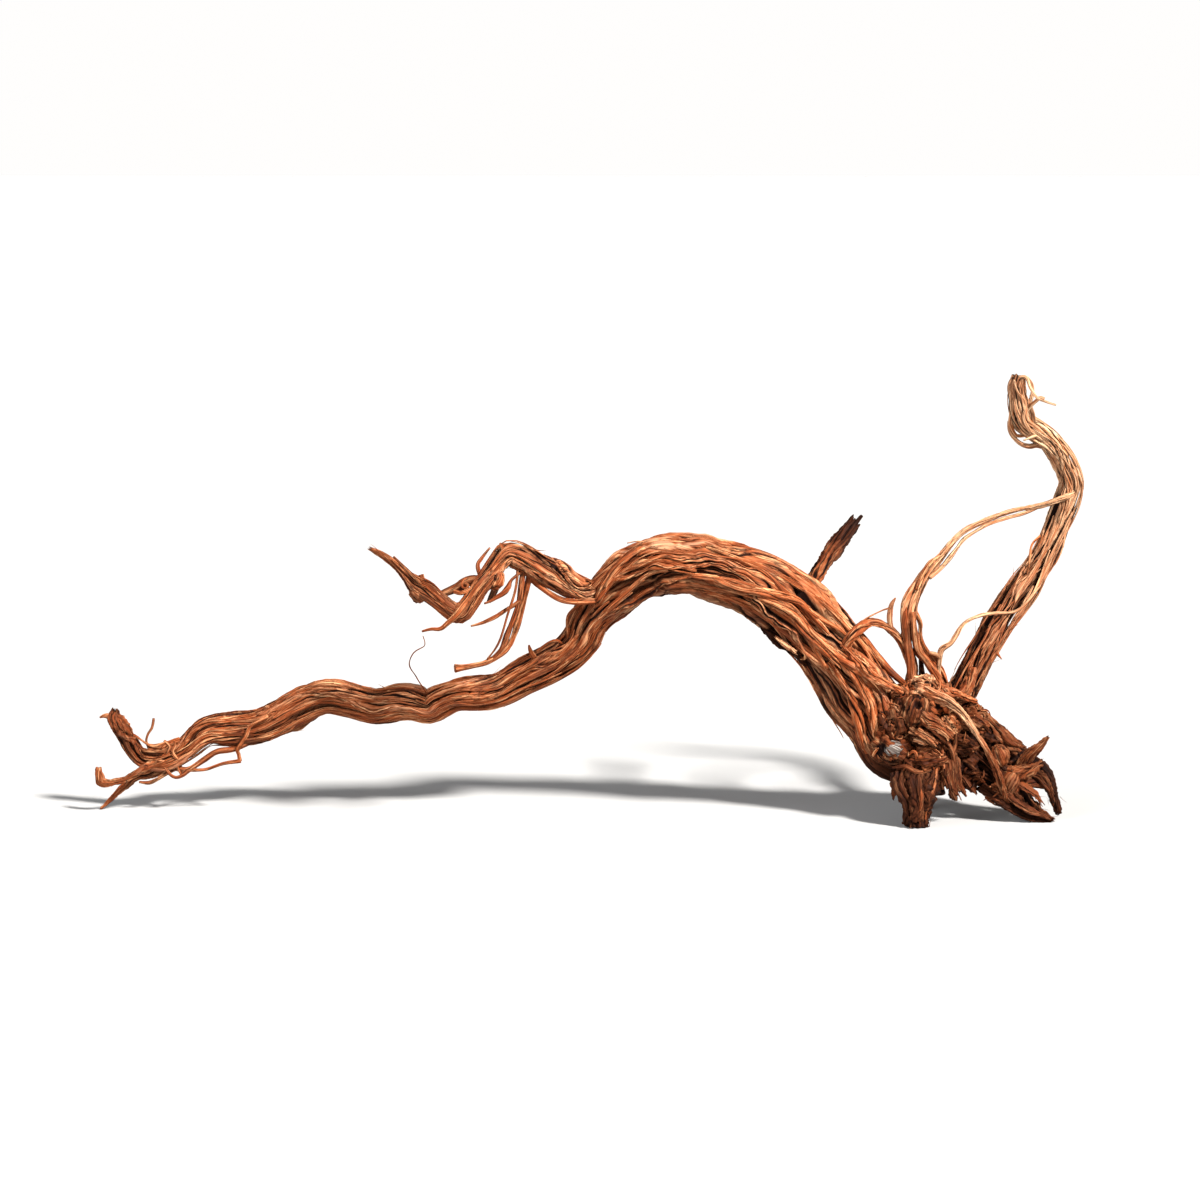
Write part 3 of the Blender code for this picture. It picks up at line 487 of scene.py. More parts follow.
toe = dict(
    strands=11, step=0.9, run=11, seed=43, end=2, relief=2.4, crumble=1.2, crumbSize=4,
    dark=[(0, 1), (0.45, 1), (0.6, 0.9), (1, 0.75)],
    path=[
        (179, 43, 42, 18), (190, 36, 38, 15.5), (200, 29.5, 29, 11.6), (209.5, 21, 23, 8.6),
        (218, 12, 20, 6.2), (225, 6.6, 18, 4.2), (231, 4.2, 17, 1.9),
    ],
)

frontFoot = dict(
    strands=8, step=0.7, run=7, seed=45, end=0.6, groove=1.8, fineGroove=0.7, grit=0.35, crumble=1.7,
    crumbSize=5, under=0, deep=0.12, dark=1,
    path=[
        (167, 32.5, 16, 13.5), (165, 23, 10, 13), (164.2, 17, 7, 11.4), (165, 11, 5, 6.6),
        (164.3, 5.5, 4, 6), (164.2, 0.6, 3, 6.6),
    ],
)

rearFoot = dict(
    strands=8, split=2, step=0.9, run=12, seed=47, end=0.6, dark=0.8,
    path=[
        (171, 34, 38, 10), (167, 21, 45, 6.5), (165.5, 13.5, 49, 5), (165, 8.5, 50, 4.8),
    ],
)

paleRoot = dict(
    strands=5, step=0.9, run=16, seed=49, end=0, groove=1.4, fineGroove=0.8, crumble=0.35,
    pale=[(0, 0.5), (0.15, 0.15), (0.3, 0.5), (0.46, 0.55), (0.56, 0.05), (1, 0)],
    dark=[(0, 0), (0.52, 0), (0.7, 0.4), (1, 0.4)],
    path=[
        (164, 71.5, 10, 2.6), (168.5, 69.5, 7, 3.4), (173.5, 66.3, 4, 3.4), (178, 64.2, 2, 2.9),
        (182, 61.8, 1, 2.5), (186.5, 58, 1, 1.9), (192.5, 50, 2, 1.6), (199, 39.5, 3, 1.7),
        (204, 28.5, 6, 2.2), (207.5, 19, 10, 2.1), (210.5, 12, 15, 1.6),
    ],
)

for name, limb in (
    ("trunk", trunk), ("leftBranch", leftBranch), ("uprightBranch", upright), ("backStub", backStub),
    ("archingRoot", archingRoot), ("clawRoot", clawRoot), ("toe", toe), ("frontFoot", frontFoot),
    ("rearFoot", rearFoot), ("paleRoot", paleRoot),
):
    addPiece(name, [limbGrid(limb)])
    print(name, "grown")


def growLimbs(name, paths, look, seed):
    limbs = [{**look, "path": rows, "seed": seed + n} for n, rows in enumerate(paths.values())]
    addPiece(name, [limbGrid(limb) for limb in limbs])


# Broad ridges that wind over the front of the trunk.
trunkRidges = {
    "belowCrown": [
        (84, 115, -3, 1.4), (90, 113.5, -4.6, 2.3), (102, 107.5, -3.6, 3), (111, 97, -0.2, 3.2),
        (123, 86.5, 2.8, 3.2), (135, 79, 5.8, 3.1), (147, 65.5, 9, 2.6), (152, 57, 11, 1.4),
    ],
    "overCrown": [
        (2, 108, 12, 1.4), (6, 116.5, 7.5, 2.6), (13, 127, 6, 3.3), (21, 134.5, 5, 3.5),
        (31.5, 140.5, 5, 3.2), (44, 142, 3.4, 2.6), (60, 141, 1, 1.4),
    ],
    "upperEdge": [
        (80, 138, 8, 1.4), (90, 133.5, 5.5, 2.4), (101, 128, 4, 3), (110, 121, 5, 3), (119, 111, 8, 3),
        (128, 99, 12, 2.6), (135, 88, 16, 1.4),
    ],
    "lowFront": [
        (118, 92, 1.5, 1.4), (127, 84, 4, 2.6), (135.5, 74, 6.5, 3.2), (141, 63, 8, 3.4),
        (143.5, 52, 9.5, 3), (144, 43, 12, 1.4),
    ],
    "lowLeft": [
        (120, 83, 4, 1.4), (127, 74, 7, 2.6), (132.5, 64, 9, 3.2), (135.5, 53, 11, 3.2),
        (138, 43, 13.5, 2.6), (142, 34, 17, 1.4),
    ],
    "middle": [
        (52, 126, -6, 1.4), (62, 124.5, -7.2, 2), (74, 119.5, -6.4, 2.6), (84, 118, -6, 2.4),
        (94, 116.5, -4.6, 2.6), (104, 113.5, -3, 2.4), (112, 106, 0.2, 2.4), (120, 97, 3.4, 1.4),
    ],
}
ridgeLook = dict(
    strands=3, split=2, step=1.4, run=20, end=0, groove=1.8, fineGroove=1.2, relief=1.6, crumble=0.3,
    crumbSize=4,
)
growLimbs("trunkRidges", trunkRidges, ridgeLook, 90)

# The straight roots between trunk and stump.
sideRoots = {
    "sideRoot": [
        (126, 88, 8, 2.6), (132, 96, 4, 2.9), (137, 101, 7, 2.8), (142, 103.2, 10, 2.4),
        (147, 102, 13, 2.3), (152.5, 98.5, 15, 2.3), (157.5, 91.5, 17, 2.4), (160.5, 84, 19, 2.2),
    ],
    "rightStrand": [
        (162, 110.5, 18, 1.4), (166, 103, 21, 1.3), (166.5, 95.5, 23, 1.3), (168, 89.5, 25, 1.6),
        (172.5, 83.5, 28, 2.1), (176.3, 78, 30, 2.2), (178.7, 70.5, 32, 2.4), (180, 60, 33, 2.4),
    ],
    "innerStrand": [
        (161.5, 107, 15, 1.4), (163, 100.5, 15, 1.4), (163.3, 93.5, 16, 1.4), (164.5, 87.7, 18, 1.4),
        (168.5, 84, 22, 1.4), (173, 80, 26, 1.4), (176.5, 75.5, 29, 1.2),
    ],
}
sideLook = dict(strands=4, split=2, step=1, run=12, end=0, groove=3)
growLimbs("sideRoots", sideRoots, sideLook, 60)


def rootletGrid(middle, wide, sides, rng, out=None, flat=1):
    # a thin root: a tube with a furrow between its sides
    if out is None:
        out = movingFrames(middle)[1]
    across = np.cross(unit(np.gradient(middle, axis=0)), out)
    s = np.concatenate([[0], np.cumsum(np.linalg.norm(np.diff(middle, axis=0), axis=1))])
    turn = np.linspace(0, math.tau, sides * 2, endpoint=False)[None, :]
    turn = turn + 2 * drift(rng, 1, s, 0.03)[0][:, None]
    isFurrow = (np.arange(sides * 2) % 2 == 0)[None, :]
    reach = wide[:, None] * (1 + 0.12 * drift(rng, sides * 2, s, 0.012).T - 0.16 * isFurrow)
    grid = middle[:, None, :] + out[:, None, :] * (np.cos(turn) * reach * flat)[..., None]
    grid = grid + across[:, None, :] * (np.sin(turn) * reach)[..., None]
    ids = np.full(reach.shape, rng.uniform())
    grain = np.stack([np.broadcast_to(s[:, None], ids.shape), turn * wide.mean() + ids, ids], 2)
    tone = np.zeros_like(grain)
    # painted shade in the furrows between a rootlet's sides
    tone[:, :, 0] = 0.45 * isFurrow
    return grid, grain, tone


def freeRootlets(table, seed, tones, step=0.9, wobble=0.45, sink=0):
    parts = []
    for number, (label, rows) in enumerate(table.items()):
        rng = np.random.default_rng(seed + number)
        path, radius, along = smoothPath(rows, step * mm)
        path[:, 1] += sink * mm * (1 + drift(rng, 1, along, 0.006)[0])
        side, across = movingFrames(path)[1:]
        sway = wobble * mm * np.minimum(1, along / (6 * mm))
        path = path + side * (drift(rng, 1, along, 0.011)[0] * sway)[:, None]
        path = path + across * (drift(rng, 1, along, 0.008)[0] * sway)[:, None]
        radius = radius * (1 + 0.16 * drift(rng, 1, along, 0.006)[0])
        parts.append(rootletGrid(path, radius, 5, rng))
        parts[-1][2][:, :, 1:] = tones.get(label, (0, 0))
    return parts


rootlets = {
    "zigzag": [
        (175, 73, 29, 1.3), (176, 84, 27, 1.2), (177, 89, 26, 1.5), (181.5, 92, 26, 1.3),
        (184, 95.7, 27, 1.3), (186.5, 100.3, 29, 1.1), (190, 103.8, 31, 1), (196, 106.5, 34, 0.9),
        (203, 107.2, 38, 0.8), (213, 108.6, 41, 0.8), (220.5, 114, 43, 0.8), (226.5, 123, 48, 0.8),
    ],
    "archStrand": [
        (228, 161.4, 44, 0.9), (213.8, 156.2, 39, 1), (198.5, 150.8, 32, 1), (189, 145, 27, 1),
        (183.8, 138.6, 24, 1.1), (177.8, 131.2, 21, 1.3), (170.5, 125.5, 19, 1.6),
    ],
    "zigzagSide": [(176, 85, 27, 1.2), (173.5, 86.8, 24, 1.2), (170.5, 88, 22, 0.7)],
    "shadowStub": [(168, 52, 30, 2.4), (167, 70, 31, 2.3), (167, 85, 30, 1.3)],
    "thorn": [
        (151.5, 100, 15, 1.4), (150.8, 105, 14, 1.4), (151.5, 111.5, 13, 1.2), (153.5, 115.2, 12, 0.4),
    ],
    "thornTwig": [
        (150.8, 110, 13.5, 0.5), (146, 108.5, 12, 0.4), (138.5, 104.5, 9, 0.4), (135, 101, 7, 0.4),
    ],
    "hangingMain": [
        (-28, 131, -8, 2), (-30, 121, -7, 1.7), (-32.5, 112, -6, 1.6), (-37, 97, -6, 1.6),
        (-41, 88.8, -7, 1.6), (-50, 83, -9, 1.5), (-58.5, 80.8, -10, 1.4), (-63.5, 80.1, -11, 1.6),
        (-66.5, 79.9, -12, 2.1),
    ],
    "hangingSecond": [
        (-32.5, 130, -11, 1.6), (-33.5, 117, -12, 1.5), (-36.7, 107, -12, 1.5), (-39.8, 97, -12, 1.4),
        (-43, 90, -11, 1.2), (-48, 84.5, -9, 1),
    ],
    "hangingThin": [
        (-35, 131, -14, 0.9), (-36.8, 118, -16, 0.7), (-39.8, 107, -17, 0.6), (-43.5, 95, -15, 0.6),
        (-50, 84.5, -10, 0.5),
    ],
    "hangingSide": [
        (-34, 114, -12, 1), (-42.5, 107.5, -13, 0.9), (-51, 103, -17, 1), (-58.5, 101.2, -20, 0.5),
    ],
    "knotted": [
        (-31, 130, -12, 1.1), (-38.5, 124.5, -16, 0.9), (-40.5, 120, -18, 1.7), (-43.5, 117, -19, 1.4),
        (-48, 114, -21, 0.9), (-52, 112.5, -22, 0.5),
    ],
    "behindLeft": [(-44, 131, -12, 2.2), (-46, 120, -6, 1.7), (-49.5, 113, -3, 1.2)],
    "frontLeft": [
        (-45, 132, -17, 2.2), (-50.5, 125.5, -22, 2.2), (-55.5, 120, -25, 2), (-61, 112.5, -27, 1.9),
        (-65.5, 106.5, -28, 1.5), (-70.5, 102.5, -28, 1.1), (-74, 100, -27, 1), (-78.5, 99.7, -26, 0.9),
        (-83, 98.2, -25, 0.5),
    ],
    "twigUp": [(-53, 124, -18, 1.2), (-54.7, 131, -19, 1), (-53, 134.5, -18, 0.9), (-49, 140.2, -17, 0.5)],
    "cross": [
        (-78, 115.5, -20, 1.6), (-70.5, 117.6, -17.6, 1.8), (-66, 119.8, -16, 2), (-62.5, 122, -16, 2.5),
        (-58, 124, -17, 2.3), (-53, 124.5, -18, 1.8),
    ],
    "leftTipSide": [
        (-97.2, 135.7, -15, 0.5), (-91.5, 130.5, -18, 0.8), (-85, 124, -20, 0.9), (-81, 120, -20, 0.9),
    ],
    "leftNub": [(-82, 120, -18, 2.2), (-84, 126.5, -17, 1.7)],
    "underStrand": [
        (-30, 126.5, -8, 1.5), (-22.5, 118.8, -6, 1.4), (-13.7, 114, -4, 1.5), (-5, 112.7, 1, 1.5),
        (4, 114, 8, 1.5),
    ],
    "apexSpur": [(-41, 137, -14, 1.6), (-44, 142.5, -15, 0.5)],
    "trunkEdge": [(0.5, 115, 12, 1.2), (-7, 109.5, 15, 1), (-10.6, 104, 18, 1), (-9, 94.5, 22, 1.2)],
    "underTail": [
        (-203, 31, 42, 1.5), (-209, 28, 41, 1), (-215, 24.6, 40, 0.9), (-219.5, 22.8, 40, 1.1),
        (-224.5, 23.2, 40, 0.7),
    ],
    "tailLoop": [
        (-216, 34, 42, 0.7), (-211.8, 30.8, 39.5, 0.8), (-208.8, 27.2, 38, 0.8), (-206, 25.6, 37, 0.8),
        (-202.7, 26.6, 36.5, 1), (-200.4, 28.4, 37, 1.1), (-196.6, 31.3, 38, 1),
    ],
    "tailLoopInner": [
        (-208.5, 36, 40, 0.7), (-205.4, 32.4, 38.2, 0.8), (-205, 30, 38, 0.7), (-203.4, 26.8, 37, 0.7),
    ],
    "tailRim": [
        (-230.5, 47, 42, 1.2), (-227, 46, 42, 0.9), (-223.8, 43.8, 42, 0.6), (-220.6, 41.6, 42, 0.8),
        (-218, 40.6, 42, 1.3), (-214.9, 40.6, 41.5, 1.7), (-210.6, 41.9, 41.5, 1.8), (-204, 44, 42, 1.4),
    ],
    "tailTwig": [
        (-218.5, 38, 44, 0.9), (-220.6, 42.9, 43.5, 0.8), (-219.8, 46.6, 43.5, 0.8),
        (-217.8, 50, 43.5, 0.8), (-217.2, 54.8, 43, 0.7),
    ],
    "tailFree": [
        (-206.5, 29.8, 41, 1.2), (-201, 29, 38.5, 1.6), (-196.6, 31.3, 38, 1.5), (-191, 34.6, 38, 1.5),
        (-185, 38, 38, 1.6), (-176, 39.3, 39, 1.6), (-168, 43, 42, 1.6),
    ],
    "tailThin": [
        (-203, 28, 39, 0.9), (-199.4, 28.9, 38, 0.9), (-194.5, 29.3, 37, 0.8), (-190, 29.8, 37, 0.8),
        (-182, 32.3, 36, 0.8), (-173.6, 33.8, 36, 1.2),
    ],
    "tailKnobTwig": [
        (-236, 52, 39, 1.6), (-239.6, 55.4, 38.5, 1.7), (-242, 55.6, 38, 1), (-244, 54.8, 38, 0.4),
    ],
    "headLoop": [
        (210.6, 203.5, 45, 0.9), (211, 199.6, 45, 1), (213, 195.8, 45.5, 1.2), (216.4, 192.6, 46, 1.4),
        (220.8, 191.2, 47, 1.6), (225.6, 191.4, 48, 1.5), (231, 188.6, 50, 1.2), (236, 183, 52, 0.9),
    ],
    "tailCrossing": [
        (-160, 56, 35, 1.2), (-169, 51.2, 34, 1), (-171.5, 46, 34, 1), (-175.3, 39.5, 35, 1),
        (-174.5, 36.8, 36, 1), (-173.6, 33.5, 36, 1.2),
    ],
    "headStrandLeft": [
        (219, 196.5, 46, 1.2), (214, 196, 45, 1), (210.8, 202, 44, 1), (211.5, 208, 43, 1.2),
    ],
    "headStrandRight": [
        (219.5, 225.5, 43, 0.6), (222, 221.6, 42, 0.9), (222.3, 216.6, 41.5, 1.1), (221.2, 212, 41.5, 1.2),
        (222.6, 206.6, 42, 1.3), (223, 200, 44, 1.2),
    ],
    "headInner": [
        (213, 224, 38.5, 0.6), (215, 218, 37.2, 1), (218.6, 212.6, 37, 1), (217.6, 205, 39, 1),
        (221, 198, 42, 1),
    ],
    "headSpike": [(212, 215, 42, 1.2), (211.2, 222, 41, 0.9), (212.5, 226.2, 41, 0.4)],
    "headTwig": [
        (215, 225, 40, 1.2), (219.3, 225.2, 38, 1), (222, 219.3, 36, 0.8), (224.8, 215, 35, 0.7),
        (229, 213, 35, 0.7), (234, 211.2, 34, 0.5),
    ],
    "headTwigShort": [
        (219, 209, 41, 1.6), (223.5, 213, 38, 1.2), (226.3, 215, 36, 1), (228.4, 214.7, 35, 0.6),
    ],
    "headThorn": [(225, 196, 44, 1), (222, 195.6, 40, 0.7), (217.8, 194, 38, 0.4)],
    "hair": [
        (-82.5, 96, -25, 0.25), (-81.5, 91, -20, 0.28), (-87.6, 87, -8, 0.3), (-89.5, 81.8, 8, 0.3),
        (-85.8, 75, 24, 0.32), (-80.5, 67, 36, 0.4),
    ],
    "topHair": [(30, 141, 8, 0.5), (26, 143.4, 5, 0.3), (19.5, 142.5, 3, 0.25)],
    "gapStrand": [(-13, 92, 22, 0.9), (-16, 94.2, 19, 0.7), (-20.6, 92.6, 19, 0.6), (-25.5, 88.6, 22, 0.6)],
    "trunkStub": [(-27, 85.5, 24, 1.3), (-28.8, 89, 21, 1), (-29.6, 91.4, 20, 0.5)],
    "backStrand": [(126, 105, 22, 1.3), (137, 95.2, 17, 1.7), (148.5, 81.5, 15, 1.8), (160.5, 70, 16, 1.4)],
    "uprightSide": [
        (226, 146, 52, 0.7), (221.9, 141.5, 49, 0.7), (220.6, 134, 48, 0.7), (219, 126, 50, 0.6),
    ],
    "uprightThorn": [(204, 88, 41, 1.2), (206.6, 84.4, 38, 0.4)],
    "clusterLeft": [
        (158.6, 111, 16, 1.6), (159, 101, 14, 2), (159.8, 93, 14, 2.2), (161.2, 84, 15, 2.2),
        (161, 72, 17, 2.2),
    ],
    "clusterMiddle": [
        (162.5, 108, 13, 1.3), (163.5, 97, 13, 1.7), (165, 88.5, 15, 1.8), (170, 83, 18, 1.8),
        (174, 77, 20, 2), (177, 69.5, 22, 2.2),
    ],
    "twistFray": [(176, 136, 20, 0.9), (171.5, 133, 17, 1.1), (168, 127.5, 16, 1.2), (164, 119, 14, 1)],
}
# how pale and how dark the rootlets are that don't have the body's colour; shadowStub's dark is painted
# shade
rootletTones = {
    "zigzag": (0.55, 0), "archStrand": (0.6, 0), "zigzagSide": (0.4, 0), "thorn": (0.3, 0),
    "shadowStub": (0, 0.9), "headTwig": (0.9, 0), "headTwigShort": (0.9, 0), "headThorn": (0.8, 0),
    "headStrandLeft": (0.8, 0), "headSpike": (0.8, 0), "behindLeft": (0, 0.8), "cross": (0, 0.6),
    "leftNub": (0, 0.6), "leftTipSide": (0, 0.5), "tailFree": (0, 0.3), "underTail": (0, 0.3),
    "tailLoop": (0, 0.3), "tailLoopInner": (0, 0.2), "tailTwig": (0, 0.3), "tailKnobTwig": (0, 0.2),
    "headLoop": (0.5, 0.2), "headStrandRight": (0.6, 0), "headInner": (0.7, 0),
}
addPiece("rootlets", freeRootlets(rootlets, 200, rootletTones))

# Small curled roots on the stump's bark and the left branch.
barkCurls = {
    "curlOne": [
        (165.5, 36, 0, 0.6), (167, 38.6, -0.5, 0.7), (170, 39.8, -0.8, 0.8), (173.5, 39.2, -0.6, 0.7),
        (176, 37, 0.5, 0.5),
    ],
    "curlTwo": [
        (166, 33.5, 0, 0.6), (168, 36.2, -0.8, 0.7), (171, 37.2, -1.2, 0.7), (174, 36.4, -0.8, 0.7),
        (176, 34, 0.5, 0.5),
    ],
    "curlThree": [
        (167, 31, 0, 0.5), (169, 33.5, -0.8, 0.7), (171.5, 34.4, -1.2, 0.7), (174, 33.6, -0.6, 0.6),
        (175.5, 31.5, 0.5, 0.5),
    ],
    "curlFour": [(160, 36, 2, 0.7), (163, 38, 0.5, 0.8), (164.5, 34.5, 0.5, 0.8), (162.5, 31.5, 1.5, 0.6)],
    "underChunk": [(176, 44, 2, 0.8), (180.5, 41.5, 2.5, 1.2), (183, 37.5, 4, 1.2), (183.5, 32.5, 6, 0.8)],
    "hollowLipLeft": [(184, 47, 5, 0.9), (183.5, 41.5, 5.5, 1.3), (182, 36, 5, 1.2), (182.5, 30, 6, 0.9)],
    "footVein": [
        (160, 29, 0, 0.8), (163, 24, -3, 1.1), (166, 17.5, -4.5, 1.1), (166.5, 11, -5, 0.9),
        (165, 5, -4.5, 0.6),
    ],
    "footVeinRight": [
        (174.5, 31, 1, 0.8), (174, 24, -1.5, 1), (171.5, 17, -3, 1), (169.5, 10.5, -3, 0.8),
        (169, 4, -2, 0.5),
    ],
    "branchCurl": [
        (-56, 121.6, -20, 1), (-59.6, 124.4, -20, 1), (-62.6, 123.2, -20, 1), (-63, 120.8, -20, 0.9),
        (-61.2, 119.6, -21, 0.8), (-59.8, 121, -22, 0.7), (-61.2, 122.4, -22, 0.5),
    ],
    "collarOne": [
        (-212, 43.4, 41, 0.6), (-210, 41.8, 39.5, 0.8), (-208.8, 40, 38.3, 0.8), (-209.6, 37.4, 38, 0.7),
        (-207.6, 34.8, 38.6, 0.6),
    ],
    "collarTwo": [
        (-214.5, 41.4, 40, 0.5), (-212, 39.6, 38.4, 0.7), (-210.8, 37.2, 37.8, 0.7),
        (-212.6, 35.4, 37.6, 0.6),
    ],
    "collarThree": [
        (-207, 43, 39, 0.6), (-206.4, 40.4, 37.4, 0.8), (-207.4, 37.6, 36.6, 0.8), (-205.2, 34.6, 37, 0.6),
    ],
    "headKnots": [
        (-236.5, 55, 37, 0.7), (-234, 53.2, 36.2, 1), (-235.4, 50, 36.4, 0.9), (-232.4, 48, 36.6, 0.9),
        (-230.2, 50, 38, 0.6),
    ],
    "branchFold": [
        (-67, 118, -21, 0.9), (-63, 117, -23, 1.1), (-58.5, 118.6, -23, 1), (-54.5, 122.4, -22, 0.8),
    ],
    "remnantCurl": [
        (101, 92.4, 4, 0.7), (105.5, 90.2, 1.5, 0.9), (108.6, 87, 1.5, 0.9), (108.4, 84.2, 2.5, 0.8),
        (105.4, 83.6, 4, 0.6),
    ],
    "wristFold": [
        (152.5, 30, 5, 0.8), (158, 30.5, 0.5, 1.1), (164, 28, -1.5, 1.2), (170, 28.5, -1, 1),
        (175, 31.5, 2, 0.8),
    ],
}
curlTones = {
    "curlOne": (0, 0.3), "curlTwo": (0, 0.3), "curlThree": (0, 0.3), "underChunk": (0, 0.5),
    "hollowLipLeft": (0, 0.5), "footVein": (0, 0.3), "wristFold": (0, 0.5),
}
addPiece("barkCurls", freeRootlets(barkCurls, 260, curlTones, step=0.45, wobble=0.75, sink=1))

# Thin strands that run over a limb at a slant, their ends sunk in it.
plainStrands = dict(
    length=(35, 120), radius=(0.8, 2.2), slant=3, proud=-0.35, first=0.03, last=0.97, step=2, sides=7,
    pale=0,
)


def laidStrands(limb, look):
    look = SimpleNamespace(**{**plainStrands, **look})
    rng = np.random.default_rng(look.seed)
    path, radius, along = smoothPath(limb["path"], mm)
    side, across = movingFrames(path)[1:]
    total, parts = along[-1], []
    for n in range(look.count):
        length = rng.uniform(*look.length) * mm
        first = rng.uniform(look.first * total, max(look.last * total - length, look.first * total + mm))
        last = min(first + length, look.last * total)
        s = np.linspace(first, last, max(8, int((last - first) / (look.step * mm))))
        here, bow = s - first, np.sin(math.pi * np.linspace(0, 1, len(s)))
        slim = np.interp(s, along, np.minimum(1, radius / (9 * mm)) ** 0.5)
        thick = rng.uniform(*look.radius) * mm * slim
        wide = thick * (0.35 + 0.65 * bow**0.5) * (1 + 0.25 * drift(rng, 1, here, 0.02)[0])
        angle = rng.uniform(0, math.tau) + rng.uniform(-1, 1) * look.slant * here
        angle = angle + 0.25 * drift(rng, 1, here, 0.035)[0] + 0.06 * drift(rng, 1, here, 0.012)[0]
        lift = (look.proud + 0.5) * bow**0.35 - 0.9 + 0.35 * drift(rng, 1, here, 0.025)[0]
        out = follow(s, along, side) * np.cos(angle)[:, None]
        out = out + follow(s, along, across) * np.sin(angle)[:, None]
        middle = follow(s, along, path) + out * (np.interp(s, along, radius) + lift * wide)[:, None]
        parts.append(rootletGrid(middle, wide, look.sides, rng, out, 0.62))
        parts[-1][2][:, :, 1] = alongLimb(look.pale, s / total)[:, None]
    return parts


palest = upright["pale"]
trunkStrands = dict(count=70, first=0.08, last=0.95, seed=71)
leftStrands = dict(count=26, length=(18, 60), radius=(0.5, 1.1), slant=9, last=0.85, seed=73)
uprightStrands = dict(count=30, length=(20, 80), radius=(0.5, 1.2), slant=7, seed=75, pale=palest)
addPiece("trunkStrands", laidStrands(trunk, trunkStrands))
addPiece("leftStrands", laidStrands(leftBranch, leftStrands))
addPiece("uprightStrands", laidStrands(upright, uprightStrands))

fineStrands = dict(length=(12, 55), radius=(0.35, 0.8), slant=8, sides=4, step=1.8)
addPiece("fineStrands", [
    *laidStrands(trunk, {**fineStrands, "count": 120, "first": 0.06, "seed": 171}),
    *laidStrands(leftBranch, {**fineStrands, "count": 60, "length": (8, 35), "last": 0.9, "seed": 173}),
    *laidStrands(upright, {**fineStrands, "count": 50, "seed": 175, "pale": palest}),
])

looseStrands = dict(length=(12, 40), radius=(0.45, 0.9), slant=10, sides=4, proud=0.9, first=0.3)
looseOnTrunk = dict(count=14, length=(20, 60), first=0.4, last=0.88, proud=0.5, seed=271)
addPiece("looseStrands", [
    *laidStrands(trunk, {**looseStrands, **looseOnTrunk}),
    *laidStrands(leftBranch, {**looseStrands, "count": 16, "last": 0.9, "seed": 273}),
    *laidStrands(upright, {**looseStrands, "count": 12, "seed": 275, "pale": palest}),
])
print("strands laid")

